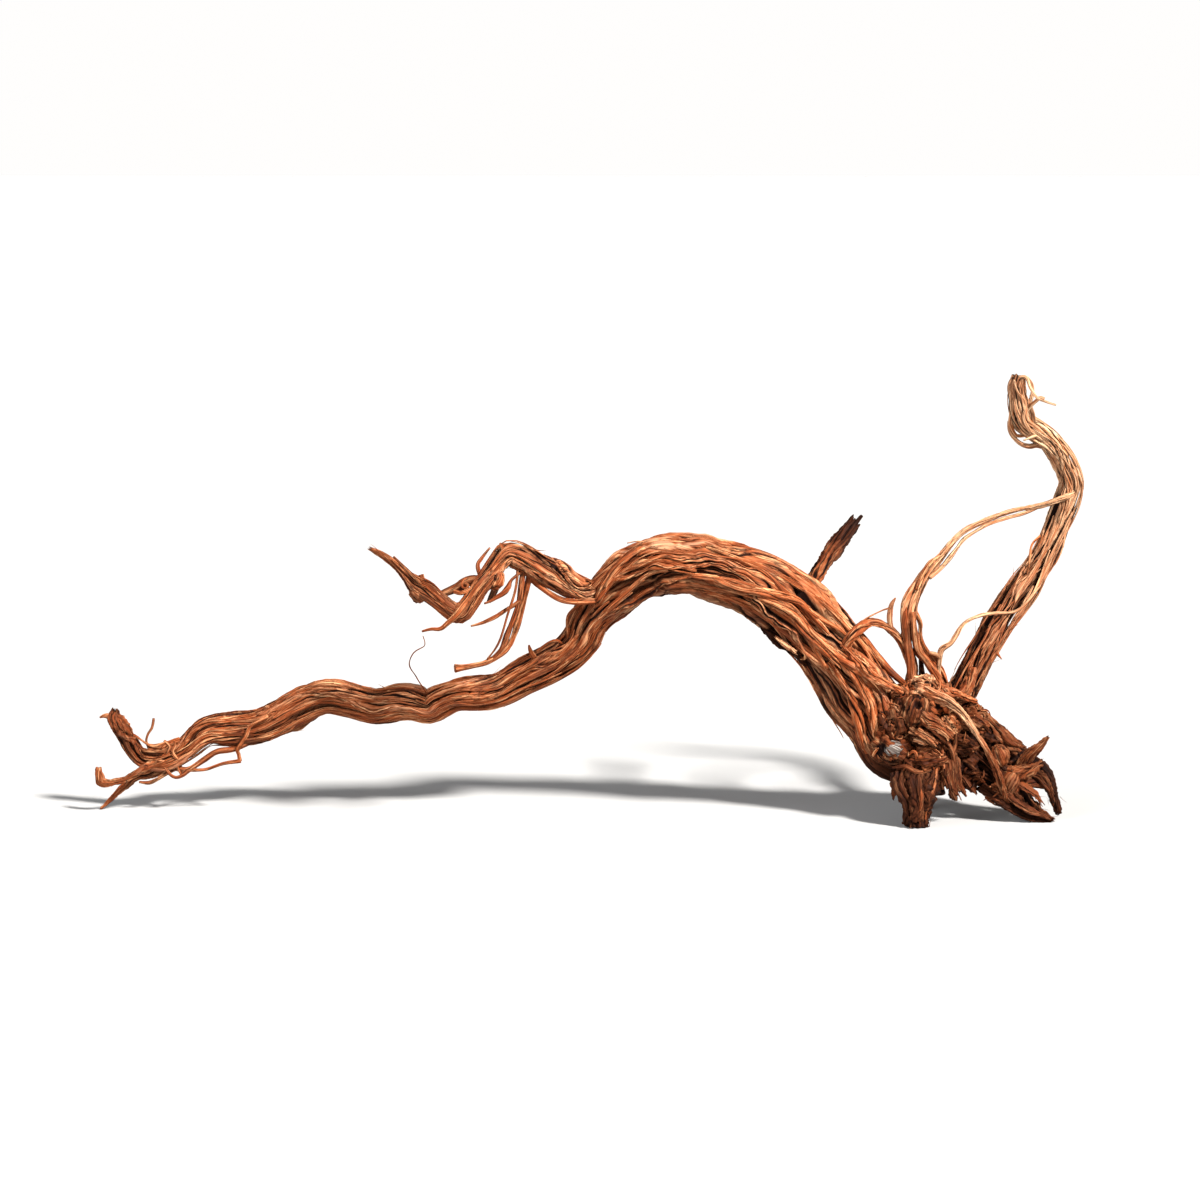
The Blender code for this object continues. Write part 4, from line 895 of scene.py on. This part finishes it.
# The stump: knots, the hollow between them, broken plates and crumbs of bark.
# A knot: across, up, depth, half sizes across, in depth and up, the way its fibres run, and its look.
knots = {
    "core": ((168.5, 44, 30), (17, 20, 18), (0.2, -1, 0), dict(dark=1, deep=0.6, rings=24)),
    "rightCore": ((187, 46, 38), (16, 15, 17), (0.7, -0.7, 0), dict(dark=1, deep=0.6)),
    "barkMass": ((154, 52, 12), (8, 8, 12), (0.3, -1, 0), dict(crumble=3.6, ribs=1.3, dark=0.9, rings=58)),
    "frontMass": ((170, 47, 13), (11.5, 7.5, 12.5), (0.5, -0.8, 0),
        dict(crumble=3.4, ribs=1.2, dark=1, rings=58)),
    "topKnob": ((167.5, 69.5, 13), (7.2, 8, 5.4), (1, -0.5, 0),
        dict(crumble=2.8, ribs=1, pale=0.3, rings=48)),
    "underPale": ((172.5, 62.5, 9), (6.5, 5.5, 5.5), (0.7, -0.7, 0), dict(crumble=1.9, ribs=0.8, dark=0.2)),
    "topLedge": ((175.5, 68, 19), (6.5, 6, 4.2), (1, -0.5, 0), dict(crumble=1.6, pale=0.1, dark=0.2)),
    "gapFill": ((158.5, 67, 15), (7, 6, 5), (0.5, -0.9, 0), dict(crumble=2.2, ribs=1, dark=0.2)),
    "eyeKnot": ((164.2, 58.7, 6.5), (7, 5.8, 8.2), (-0.35, -1, 0),
        dict(ribs=0.9, crumble=1.1, dark=0.7, hole=(0.05, 0.42), rings=48)),
    "curlyKnot": ((171, 35.2, 6), (6.4, 6.4, 5.8), (1, 0.1, 0),
        dict(ribs=1.5, crumble=2.6, dark=0.72, rings=54)),
    "curlyUnder": ((163, 32.5, 9), (7, 6, 6.5), (1, -0.3, 0),
        dict(ribs=1.2, crumble=2.6, dark=0.8, rings=42)),
    "nubBed": ((152, 40, 9), (9, 7, 6.5), (0.7, -0.7, 0), dict(ribs=1.2, crumble=2.4, dark=0.7, rings=42)),
    "porousKnot": ((181, 52.6, 6.5), (5.6, 5, 6), (0.6, -0.7, 0),
        dict(pits=1.8, crumble=1.4, dark=0.5, rings=60)),
    "swirlKnot": ((180.2, 61.2, 5), (3.4, 2.8, 3.4), (0, 0, -1), dict(ribs=0.7, crumble=0.3, hole=(0, 0))),
    "hollowLump": ((189.5, 31, 22), (6.4, 5, 5.8), (0.7, -0.5, 0),
        dict(crumble=2, dark=1, deep=0.15, rings=42)),
    "hollowRim": ((184.5, 41, 15), (8.5, 6, 4.6), (1, -0.2, 0), dict(crumble=2.4, dark=0.95, rings=42)),
    "lowRim": ((187, 24.5, 19), (9.5, 6.5, 3.8), (1, -0.25, 0), dict(crumble=2.2, dark=0.95, rings=42)),
    "lumpA": ((205.6, 36, 18), (4.8, 4.4, 5.4), (0.4, -0.9, 0), dict(crumble=0.7, ribs=0.4, dark=0.45)),
    "lumpB": ((211.4, 22.4, 17), (4.8, 4.6, 5.8), (-0.5, -0.85, 0), dict(ribs=0.5, crumble=0.5, dark=0.55)),
    "ridgeKnot": ((191, 56, 27), (8, 9, 6.5), (0.8, -0.6, 0), dict(crumble=3, ribs=1, dark=0.65, rings=46)),
    "ridgeCrown": ((194.5, 53, 28), (6.4, 6.4, 5.2), (0.8, -0.6, 0),
        dict(crumble=2.2, ribs=0.8, dark=0.6, rings=46)),
    "sideCavity": ((201, 45, 27), (6.5, 5.5, 6), (0.8, -0.6, 0),
        dict(crumble=2.4, dark=1, deep=0.3, rings=40)),
    "toeKnot": ((205, 17.5, 17), (6, 4.6, 3.6), (0.8, -0.6, 0), dict(crumble=1.6, ribs=1, dark=0.65)),
    "pimple": ((170.5, 17.4, -1.5), (1.4, 1.2, 1.2), (1, 0, 0), dict(crumble=0.2, dark=0.2, rings=12)),
    "backKnot": ((176, 52, 44), (12, 8, 12), (0.4, -0.9, 0), dict(ribs=0.8, crumble=2, dark=0.5)),
    "backBark": ((196, 36, 45), (10, 7, 9), (0.8, -0.6, 0), dict(ribs=0.8, crumble=1.8, dark=0.55)),
    "backLow": ((182, 30, 47), (11, 6.5, 9), (0.6, -0.8, 0), dict(ribs=1, crumble=1.6, dark=0.7)),
    "behindLump": ((211.6, 34, 27), (4.2, 3, 4.6), (0.8, -0.6, 0), dict(crumble=0.8, dark=1, deep=0.4)),
    "branchKnot": ((-46.5, 124.4, -18.6), (3.4, 2.8, 4.4), (0.5, 0.8, 0), dict(ribs=0.7, dark=0.2)),
    "branchElbow": ((-65, 107.6, -22.5), (4.8, 4.4, 3.8), (0.7, 0.6, 0), dict(ribs=0.9, dark=0.4)),
    "branchTipKnot": ((-84, 117.2, -18), (3.8, 3.6, 3.4), (0.7, -0.6, 0),
        dict(crumble=1.2, ribs=0.9, dark=0.6)),
    "footSkin": ((164.6, 14.5, 3.2), (5.8, 5.2, 12.5), (0.1, -1, 0),
        dict(ribs=0.6, crumble=1.5, dark=0.88, rings=50)),
}
# deep is painted shade over a whole knot, used for knots that sit in hollows and behind others
plainKnot = dict(rings=34, crumble=1, ribs=0.35, pits=0, hole=None, pale=0, dark=0, deep=0)


def knotGrid(place, half, way, look, rng):
    look = SimpleNamespace(**{**plainKnot, **look})
    lean = sketchWay(*way)
    side = unit(np.cross(lean, (0.02, 1, 0.03)))
    other = np.cross(lean, side)
    rings, columns = look.rings, int(look.rings * 1.6)
    polar = np.linspace(0.03, math.pi - 0.03, rings)[:, None, None]
    turn = np.linspace(0, math.tau, columns, endpoint=False)[None, :, None]
    ball = lean * np.cos(polar) + (side * np.cos(turn) + other * np.sin(turn)) * np.sin(polar)
    skin = ball * half
    along = (skin @ lean)[..., None]
    spots = skin + rng.uniform(0, 90, 3)
    dent = look.crumble * (ridged(spots / 7, 0.9, 2.1, 5, 1, 2) - 1.1)
    dent += 0.3 * look.crumble * (ridged(2.9 * spots / 7, 0.8, 2.1, 3, 1, 2) - 1.1)
    dent += look.ribs * ridged((spots - 0.8 * along * lean) / 1.6, 1, 2, 3, 1, 1.6)
    if look.pits:
        near = [noise.voronoi(Vector(spot))[0][0] for spot in (spots / 1.25).reshape(-1, 3)]
        dent -= look.pits * clip01(1 - 2.3 * np.array(near)).reshape(dent.shape)
    level = (dent - np.percentile(dent, 62)) / max(0.8, dent.std() * 1.6)
    reach = 1 + dent / np.linalg.norm(skin, axis=2)
    if look.hole:
        mouth = unit(acrossWay * look.hole[0] + upWay * look.hole[1] - np.array((0, 0.9, 0)))
        near = clip01((ball @ mouth - 0.965) / 0.03)
        reach, level = reach * (1 - 0.4 * near), level - 3 * near
    grid = placed([place]) + skin * np.maximum(reach, 0.3)[..., None] * mm
    ids = np.full(dent.shape, rng.uniform())
    grain = np.stack(np.broadcast_arrays(along[..., 0] * mm, turn[..., 0] * np.mean(half) * mm, ids), 2)
    dark = clip01(look.dark + 0.25 * drift(rng, columns, np.linspace(0, 0.05, rings), 0.008).T)
    # painted shade: a knot's low spots and its hole raise the groove tone
    tone = np.stack(np.broadcast_arrays(np.clip(look.deep - 0.75 * level, 0, 0.95), look.pale, dark), 2)
    return grid, grain, tone


knotRng = np.random.default_rng(11)
addPiece("stumpKnots", [knotGrid(*knot, knotRng) for knot in knots.values()])
print("knots grown")

# Broken plates and chunks: how flat they are, which way they face, and a path of a few rows.
plates = {
    "splitChunk": dict(strands=8, squash=(0.5, 0.6, -0.6, 0.6), end=2.4, start=2, dark=0.5, groove=1.6,
        fineGroove=1.2, relief=0.9, path=[(168.5, 56, 3, 5), (174.5, 51, 1, 5.6), (180.5, 45.6, 1, 5)]),
    "redBlock": dict(strands=4, squash=(0.5, 0.6, -0.7, 0.6), end=1.2, start=0.8, dark=0.42,
        path=[(165.3, 48.9, 0, 2.9), (170, 45.6, -1.5, 3), (175, 42.4, -2, 2.7)]),
    "redBlockUnder": dict(strands=4, squash=(0.4, 0.6, -0.7, 0.6), end=1.8, start=1.2, dark=0.6,
        path=[(161.5, 49.5, 4, 3), (167, 46.5, 2, 3.2), (171.5, 43.8, 2, 2.6)]),
    "paleChip": dict(strands=3, squash=(0.1, 0.8, -0.6, 0.5), end=1.4, start=1, pale=0.35,
        path=[(163.2, 44.2, 0.5, 1.6), (166.6, 43.2, -1, 1.8), (168.8, 41.8, -1, 1.2)]),
    "hangingSlab": dict(strands=9, squash=(0.3, 0.1, -0.9, 0.4), end=4.4, start=1.2, dark=0.75,
        path=[(180.6, 38, 7, 3.2), (182, 30, 6, 4.2), (183.2, 22.5, 6, 4), (184.5, 18.8, 7, 4.4)]),
    "hangingSlabLeft": dict(strands=7, squash=(-0.3, 0.1, -0.9, 0.45), end=3.4, start=1.2, dark=0.7,
        path=[(178, 36, 6, 2.4), (178, 28, 5, 3), (178.8, 21.5, 5, 3)]),
    "lowTooth": dict(strands=5, squash=(0.5, 0.5, -0.7, 0.4), end=1.6, dark=0.8, path=[(188, 26, 14, 3.6),
        (191.5, 21, 13, 3.2), (193.8, 17.8, 13, 1.2)]),
    "footPlate": dict(strands=4, squash=(0.1, 0, -1, 0.55), end=2.6, start=1, dark=0.9, groove=0.8,
        relief=1.2, crumble=1.1, path=[(170.5, 33, 4, 3.4), (171, 24, -1, 3.4), (170, 16, -3, 3),
        (168, 9, -2.5, 1.6)]),
    "footLeft": dict(strands=4, squash=(-0.4, 0, -0.9, 0.6), end=2.6, start=1, dark=0.9, groove=0.8,
        relief=1.2, crumble=1.1, path=[(155, 27, 4, 4.4), (157.5, 18.5, 0, 4.2), (160, 11.5, -1, 3.2),
        (160.8, 6, 0, 2.4)]),
    "footMiddle": dict(strands=4, squash=(0, 0, -1, 0.5), end=1, start=1.2, dark=0.9, groove=0.8,
        relief=1.2, crumble=1.1, path=[(163.5, 30, 2, 4.6), (164.5, 20, -3, 4.4), (164.5, 11, -3.6, 3.4),
        (164, 4.2, -2.6, 3.4)]),
    "footSpur": dict(strands=4, squash=(-0.5, 0, -0.8, 0.5), end=1.8, dark=0.6, path=[(153.5, 25, 8, 3.4),
        (153.2, 19.5, 6, 2.4), (152.6, 15.6, 5, 1.2)]),
    "heelSpur": dict(strands=3, squash=(-0.4, 0, -0.9, 0.6), end=0.8, dark=0.95, deep=0.06,
        path=[(160.6, 9.5, 1, 2.6), (159.2, 4.8, 1, 2.4), (158, 2, 1, 1.4)]),
    "blade": dict(strands=8, relief=1.2, squash=(0.15, -0.3, -0.95, 0.3), end=1.4, start=0.8, dark=0.35,
        path=[(212.8, 27.5, 24, 1.6), (216, 31.5, 22, 3), (220.5, 36, 20, 3.6), (225.4, 40.5, 18, 2.9),
        (229.6, 45, 17, 1.2)]),
    "jaggedPlate": dict(strands=8, squash=(0.2, 0.7, -0.7, 0.3), end=4.4, start=1.2, dark=0.4,
        path=[(207, 29.5, 20, 2.6), (214, 28, 17, 4.2), (220, 28.5, 16, 4), (225, 31.5, 15, 1.8)]),
    "jaggedUnder": dict(strands=6, squash=(0.5, 0.6, -0.6, 0.4), end=3, start=1.2, dark=0.45,
        path=[(213, 24, 17, 3), (218, 21, 15, 3.6), (223.5, 17, 15, 2.6), (226, 13.5, 15, 1.4)]),
    "spikeRoot": dict(strands=3, squash=(0.5, -0.5, -0.7, 0.4), end=1.6, dark=0.5, path=[(218, 24.5, 15, 2),
        (222.5, 30, 15, 1.4), (226.6, 33.8, 15, 0.5)]),
    "clawHood": dict(strands=6, squash=(-0.6, 0.3, -0.7, 0.5), end=2.2, start=1.2, dark=0.85, deep=0.1,
        path=[(222, 27, 22, 3.2), (226.5, 25, 20, 3), (230, 20, 19, 2.4), (232, 14.5, 19, 1.6)]),
    "jaggedFill": dict(strands=8, squash=(0.3, 0.6, -0.7, 0.35), end=3.6, start=1.2, dark=0.75, deep=0.1,
        path=[(211, 27.5, 22, 2.8), (217, 25, 21, 4.6), (223, 22.5, 21, 4.4), (228, 21, 21, 2.6)]),
    "hookRoot": dict(strands=5, relief=3, crumble=0.35, end=1.2, dark=0.35, run=10,
        path=[(-209, 33, 42, 3.2), (-216, 31, 40, 2.8), (-223, 28.6, 38, 2.2), (-231.5, 24.3, 36, 1.6),
        (-238, 22.7, 35, 1.6), (-241.8, 22.4, 35, 2.2), (-244, 23.8, 35, 2.5), (-244.9, 27, 34, 2.2),
        (-245, 29.6, 34, 1.9)]),
    "pointedRoot": dict(strands=4, relief=3, crumble=0.25, end=0.6, dark=0.15, run=14,
        path=[(-208, 31, 45, 3.2), (-219.5, 28, 45, 2.7), (-226.8, 26, 45, 2.4), (-231.4, 21.6, 45, 2.1),
        (-234, 19.2, 45, 1.7), (-237.6, 15.4, 45, 1.3), (-240.4, 12.6, 45, 1), (-243.5, 9.8, 45, 0.6)]),
    "tailHead": dict(strands=6, crumble=0.9, end=1.4, start=1.4, dark=0.45, path=[(-229, 43, 41, 3.2),
        (-232.5, 49.5, 39.5, 3.9), (-236.4, 54.4, 39, 3.8), (-236.4, 57.6, 39.5, 2.4)]),
    "tailHollow": dict(strands=4, crumble=0.8, end=0, dark=0.6, deep=0.1, path=[(-223, 38.6, 41, 1.6),
        (-218, 37.6, 40, 2.6), (-212, 38.6, 40, 2.4), (-206, 42, 41, 1.6)]),
    "toeSole": dict(strands=7, squash=(0.2, 0.8, -0.5, 0.6), end=2, start=1.4, dark=1,
        path=[(196, 21, 15, 3.2), (205, 14.5, 14, 3.4), (214, 8.4, 14, 3), (223, 4.4, 14, 2),
        (230, 3, 14, 1)]),
    "toeTop": dict(strands=6, squash=(0.5, 0.6, -0.6, 0.5), end=2.4, start=1.4, dark=0.7,
        path=[(210, 17, 13, 2.6), (217, 11.5, 12, 2.8), (224, 7.5, 12, 2.2), (231, 4.8, 13, 1)]),
    "upperRoot": dict(strands=5, end=1, start=1, dark=0.62, relief=1, groove=0.9, crumble=0.4, crumbSize=6,
        path=[(190, 61, 26, 3.4), (197, 55, 25, 4.2), (203, 49.4, 25, 4.4), (209.5, 43.4, 24, 4.2),
        (215.5, 38.4, 23, 3.6)]),
    "ledgeStrand": dict(strands=4, end=1, start=0.8, dark=0.1, path=[(174, 71.5, 14, 1.2),
        (181, 69, 16, 1.6), (187.5, 66, 20, 1.8), (194, 63, 24, 1.6)]),
    "uprightHeel": dict(strands=5, end=0, start=1, dark=0.4, path=[(180, 64, 26, 3), (186, 66, 27, 3.4),
        (190, 72, 30, 3.2), (192.5, 80, 34, 2.2)]),
    "barkRemnant": dict(strands=6, squash=(0.5, 0.6, -0.6, 0.5), end=2.4, start=2.4, dark=1,
        path=[(87.5, 100.5, 9, 2.4), (95, 95, 5, 4.4), (102.5, 89, 5, 4.4), (109, 82.5, 8, 2.2)]),
    "remnantCore": dict(strands=3, squash=(0.5, 0.6, -0.6, 0.6), end=1.2, start=1.2, pale=0.25,
        path=[(94, 95.2, 1, 1.2), (99, 91.4, 0.4, 1.9), (104, 87.8, 1, 1.4)]),
    "trunkLip": dict(strands=5, end=2, path=[(140, 72, 9, 2.4), (146.5, 64, 8, 3), (149.5, 55, 8, 2.8),
        (149, 46, 9, 2)]),
    "trunkRidge": dict(strands=5, end=1.6, path=[(127, 93, 6, 1.8), (136.5, 82, 4, 3), (147, 73, 6, 2.8),
        (156, 68.5, 8, 2.2)]),
}
plateLook = dict(
    split=2, step=0.8, run=7, uneven=0.9, groove=1.9, fineGroove=0.9, grit=0.3, crumble=0.75, crumbSize=2.6,
    twist=0, waves=0.04,
)
addPiece("brokenPlates", [
    limbGrid({**plateLook, **plate, "seed": 300 + number}) for number, plate in enumerate(plates.values())
])
print("plates broken")

# Crumbs of bark strewn over the knots: how many, how dark and how long they are.
crumbs = {
    "barkMass": (150, 0.6, 3), "frontMass": (90, 0.85, 2.6), "topKnob": (45, 0.35, 2.2),
    "topLedge": (50, 0.2, 2.4), "eyeKnot": (14, 0.5, 1.8), "curlyKnot": (50, 0.5, 2.2),
    "curlyUnder": (40, 0.7, 2.4), "porousKnot": (24, 0.5, 1.5), "hollowRim": (60, 0.9, 2.4),
    "lowRim": (60, 0.8, 3), "ridgeKnot": (70, 0.6, 2.6), "ridgeCrown": (24, 0.6, 2),
    "sideCavity": (40, 0.9, 2), "toeKnot": (40, 0.7, 2.6), "lumpA": (16, 0.6, 1.6), "lumpB": (14, 0.6, 1.6),
    "backKnot": (90, 0.5, 3.2), "backBark": (70, 0.5, 3), "backLow": (70, 0.6, 3.2),
    "footSkin": (40, 0.9, 2),
}


backDepth = 40  # knots deeper than this are on the stump's back


def spotOnKnot(rng, place, half):
    # a random way out from a knot's middle, on its seen side, and the way its skin faces there
    ball = rng.normal(size=3)
    ball[1] = ball[1] if place[2] > backDepth else -abs(ball[1])
    ball = unit(ball)
    return ball, unit(ball / half)


def chipGrid(rng, middle, ahead, out, length, wide, thick, dark, pale):
    # a torn flake: five squashed rings of six points, lifted at one end
    rings, sides = 5, 6
    share = np.linspace(0, 1, rings)[:, None, None]
    across = np.cross(ahead, out)
    turn = np.linspace(0, math.tau, sides, endpoint=False)[None, :, None]
    taper = np.interp(share, (0, 0.25, 0.7, 1), (0.55, 1, 0.8, 0.12 + 0.5 * rng.uniform()))
    lift = rng.uniform(-0.05, 0.3) * length * share**2
    rough = rng.uniform(0.7, 1.2, (rings, sides, 1))
    slide = rng.uniform(-0.1, 0.1, (rings, sides, 1)) * length
    grid = middle + ahead * ((share - 0.4) * length + slide) + out * lift
    grid = grid + (across * np.cos(turn) * wide + out * np.sin(turn) * thick) * taper * rough
    ids = np.full((rings, sides), rng.uniform())
    grain = np.stack(np.broadcast_arrays(share[..., 0] * length, turn[..., 0] * wide, ids), 2)
    tone = np.stack(np.broadcast_arrays(rng.uniform(0, 0.25, (rings, sides)), pale, dark), 2)
    return grid, grain, tone


def strewCrumbs():
    rng = np.random.default_rng(5)
    parts = []
    for label, (count, dark, size) in crumbs.items():
        place, half, way = knots[label][:3]
        for n in range(count):
            ball, out = spotOnKnot(rng, place, half)
            middle = placed([place])[0] + ball * (np.array(half) + rng.uniform(-0.2, 1)) * mm
            ahead = way[0] * acrossWay + way[1] * upWay + 0.55 * rng.normal(size=3)
            ahead = unit(ahead - out * ahead.dot(out))
            length = size * mm * rng.uniform(0.5, 1.5)
            shade = clip01(dark + rng.uniform(-0.3, 0.3))
            wide, thick = length * rng.uniform(0.14, 0.34), length * rng.uniform(0.08, 0.18)
            pale = 0.4 * (rng.uniform() < 0.12)
            parts.append(chipGrid(rng, middle, ahead, out, length, wide, thick, shade, pale))
    return parts


addPiece("barkCrumbs", strewCrumbs())
print("crumbs strewn")

# Short curled splinters of root, half sunk in the bark: how many a knot carries and how dark they are.
splinters = {
    "barkMass": (110, 0.55), "frontMass": (60, 0.65), "gapFill": (24, 0.2), "topKnob": (24, 0),
    "topLedge": (26, 0.1), "curlyKnot": (40, 0.4), "curlyUnder": (40, 0.55), "nubBed": (26, 0.4),
    "ridgeKnot": (44, 0.4), "ridgeCrown": (12, 0.4), "hollowRim": (34, 0.7), "lowRim": (34, 0.7),
    "toeKnot": (24, 0.4), "backKnot": (60, 0.5), "backBark": (50, 0.5), "backLow": (40, 0.6),
    "footSkin": (30, 0.85),
}


def strewSplinters():
    rng = np.random.default_rng(6)
    parts = []
    s = np.linspace(0, 1, 7)
    for label, (count, dark) in splinters.items():
        place, half = knots[label][:2]
        for n in range(count):
            ball, out = spotOnKnot(rng, place, half)
            ahead = rng.normal(size=3)
            ahead = unit(ahead - out * ahead.dot(out))
            turn = (rng.uniform(-2.6, 2.6) * s)[:, None]
            length = rng.uniform(3, 9) * mm
            curl = np.cumsum(ahead * np.cos(turn) + np.cross(ahead, out) * np.sin(turn), 0)
            curl = curl * length / len(s)
            bow = np.sin(math.pi * s)
            middle = placed([place])[0] + ball * half * mm + curl
            middle = middle + out * ((rng.uniform(0, 1.6) * bow - 0.5) * mm)[:, None]
            wide = rng.uniform(0.3, 0.8) * mm * (0.3 + 0.7 * bow**0.5)
            parts.append(rootletGrid(middle, wide, 3, rng, np.tile(out, (len(s), 1))))
            parts[-1][2][:, :, 2] = clip01(dark + rng.uniform(-0.35, 0.35))
    return parts


addPiece("barkSplinters", strewSplinters())


def tornFibres(rows, count, length, radius, dark, seed):
    # hair-thin splinters that stand off a limb
    rng = np.random.default_rng(seed)
    path, thick, along = smoothPath(rows, mm)
    ahead, side, across = movingFrames(path)
    parts = []
    for n in range(count):
        k = int(rng.uniform(0.02, 0.99) * len(along))
        angle = rng.uniform(0, math.tau)
        out = side[k] * math.cos(angle) + across[k] * math.sin(angle)
        way = ahead[k] * rng.choice((-1, 1)) + out * rng.uniform(0.1, 0.6) + 0.1 * rng.normal(size=3)
        reach = rng.uniform(*length) * mm
        s = np.linspace(0, 1, 6)[:, None]
        middle = path[k] + out * thick[k] * 0.97 + (way * s + out * 0.3 * rng.uniform(-1, 1) * s**2) * reach
        wide = radius * mm * rng.uniform(0.6, 1.3) * (1 - 0.85 * s[:, 0])
        parts.append(rootletGrid(middle, wide, 2, rng, np.tile(out, (6, 1))))
        parts[-1][2][:, :, 2] = dark
    return parts


addPiece("tornFibres", [
    *tornFibres(trunk["path"], 70, (3, 8), 0.28, 0, 81),
    *tornFibres(toe["path"], 40, (3, 8), 0.25, 0.6, 82),
    *tornFibres(frontFoot["path"], 24, (2, 4), 0.3, 0.6, 83),
    *tornFibres(clawRoot["path"], 24, (2, 5), 0.22, 0.4, 84),
    *tornFibres(upright["path"][:8], 24, (2, 6), 0.25, 0, 85),
    *tornFibres(leftBranch["path"], 24, (2, 6), 0.25, 0.1, 86),
])

greyNub = ((152.8, 39.6, 3.2), (4.4, 3.4, 3.3), (1, -0.6, 0), dict(crumble=0.8, ribs=0.5, rings=32))
addPiece("greyNub", [knotGrid(*greyNub, np.random.default_rng(4))], greyWood)
print("nub and fibres set")

studio = {
    "key": {"aim": (-0.6, 0.6, -0.74), "power": 10.5, "softness": 8, "colour": (1, 0.97, 0.93)},
    "fill": {"aim": (0.8, 0.5, -0.42), "power": 2, "softness": 40, "colour": (0.95, 0.97, 1)},
    "glow": (1, 0.99, 0.98, 1),
    "above": (0.13, 0.13, 0.13, 1),
    "glowTop": 15,
    "glowEnd": 32,
    "floorColour": (0.42, 0.42, 0.42, 1),
    "floorSize": 80,
}


def sunLight(name, aim, power, softness, colour):
    bpy.ops.object.light_add(type="SUN", location=(0, 0, 2))
    light = bpy.context.object
    light.name = name
    light.data.energy = power
    light.data.angle = math.radians(softness)
    light.data.color = colour
    light.rotation_euler = Vector(aim).to_track_quat("-Z", "Y").to_euler()


def paleWorld():
    # white near the horizon, dim overhead
    world = bpy.data.worlds.new("studio")
    world.use_nodes = True
    nodes, links = world.node_tree.nodes, world.node_tree.links
    way, height = nodes.new("ShaderNodeTexCoord"), nodes.new("ShaderNodeSeparateXYZ")
    links.new(way.outputs["Generated"], height.inputs[0])
    share = nodes.new("ShaderNodeMapRange")
    share.interpolation_type = "SMOOTHSTEP"
    share.inputs["From Min"].default_value = math.sin(math.radians(studio["glowTop"]))
    share.inputs["From Max"].default_value = math.sin(math.radians(studio["glowEnd"]))
    links.new(height.outputs["Z"], share.inputs["Value"])
    mix = nodes.new("ShaderNodeMix")
    mix.data_type = "RGBA"
    mix.inputs[6].default_value = studio["glow"]
    mix.inputs[7].default_value = studio["above"]
    links.new(share.outputs[0], mix.inputs[0])
    links.new(mix.outputs[2], nodes["Background"].inputs["Color"])
    bpy.context.scene.world = world


def setUpStudio():
    sunLight("key", **studio["key"])
    sunLight("fill", **studio["fill"])
    paleWorld()
    bpy.ops.mesh.primitive_plane_add(size=studio["floorSize"])
    floor = bpy.context.object
    floor.name = "floor"
    paper = bpy.data.materials.new("palePaper")
    paper.use_nodes = True
    shader = paper.node_tree.nodes["Principled BSDF"]
    shader.inputs["Base Color"].default_value = studio["floorColour"]
    shader.inputs["Roughness"].default_value = 0.9
    shader.inputs["Specular IOR Level"].default_value = 0.1
    floor.data.materials.append(paper)
    bpy.context.scene.view_settings.view_transform = "Standard"


setUpStudio()
print("studio set")
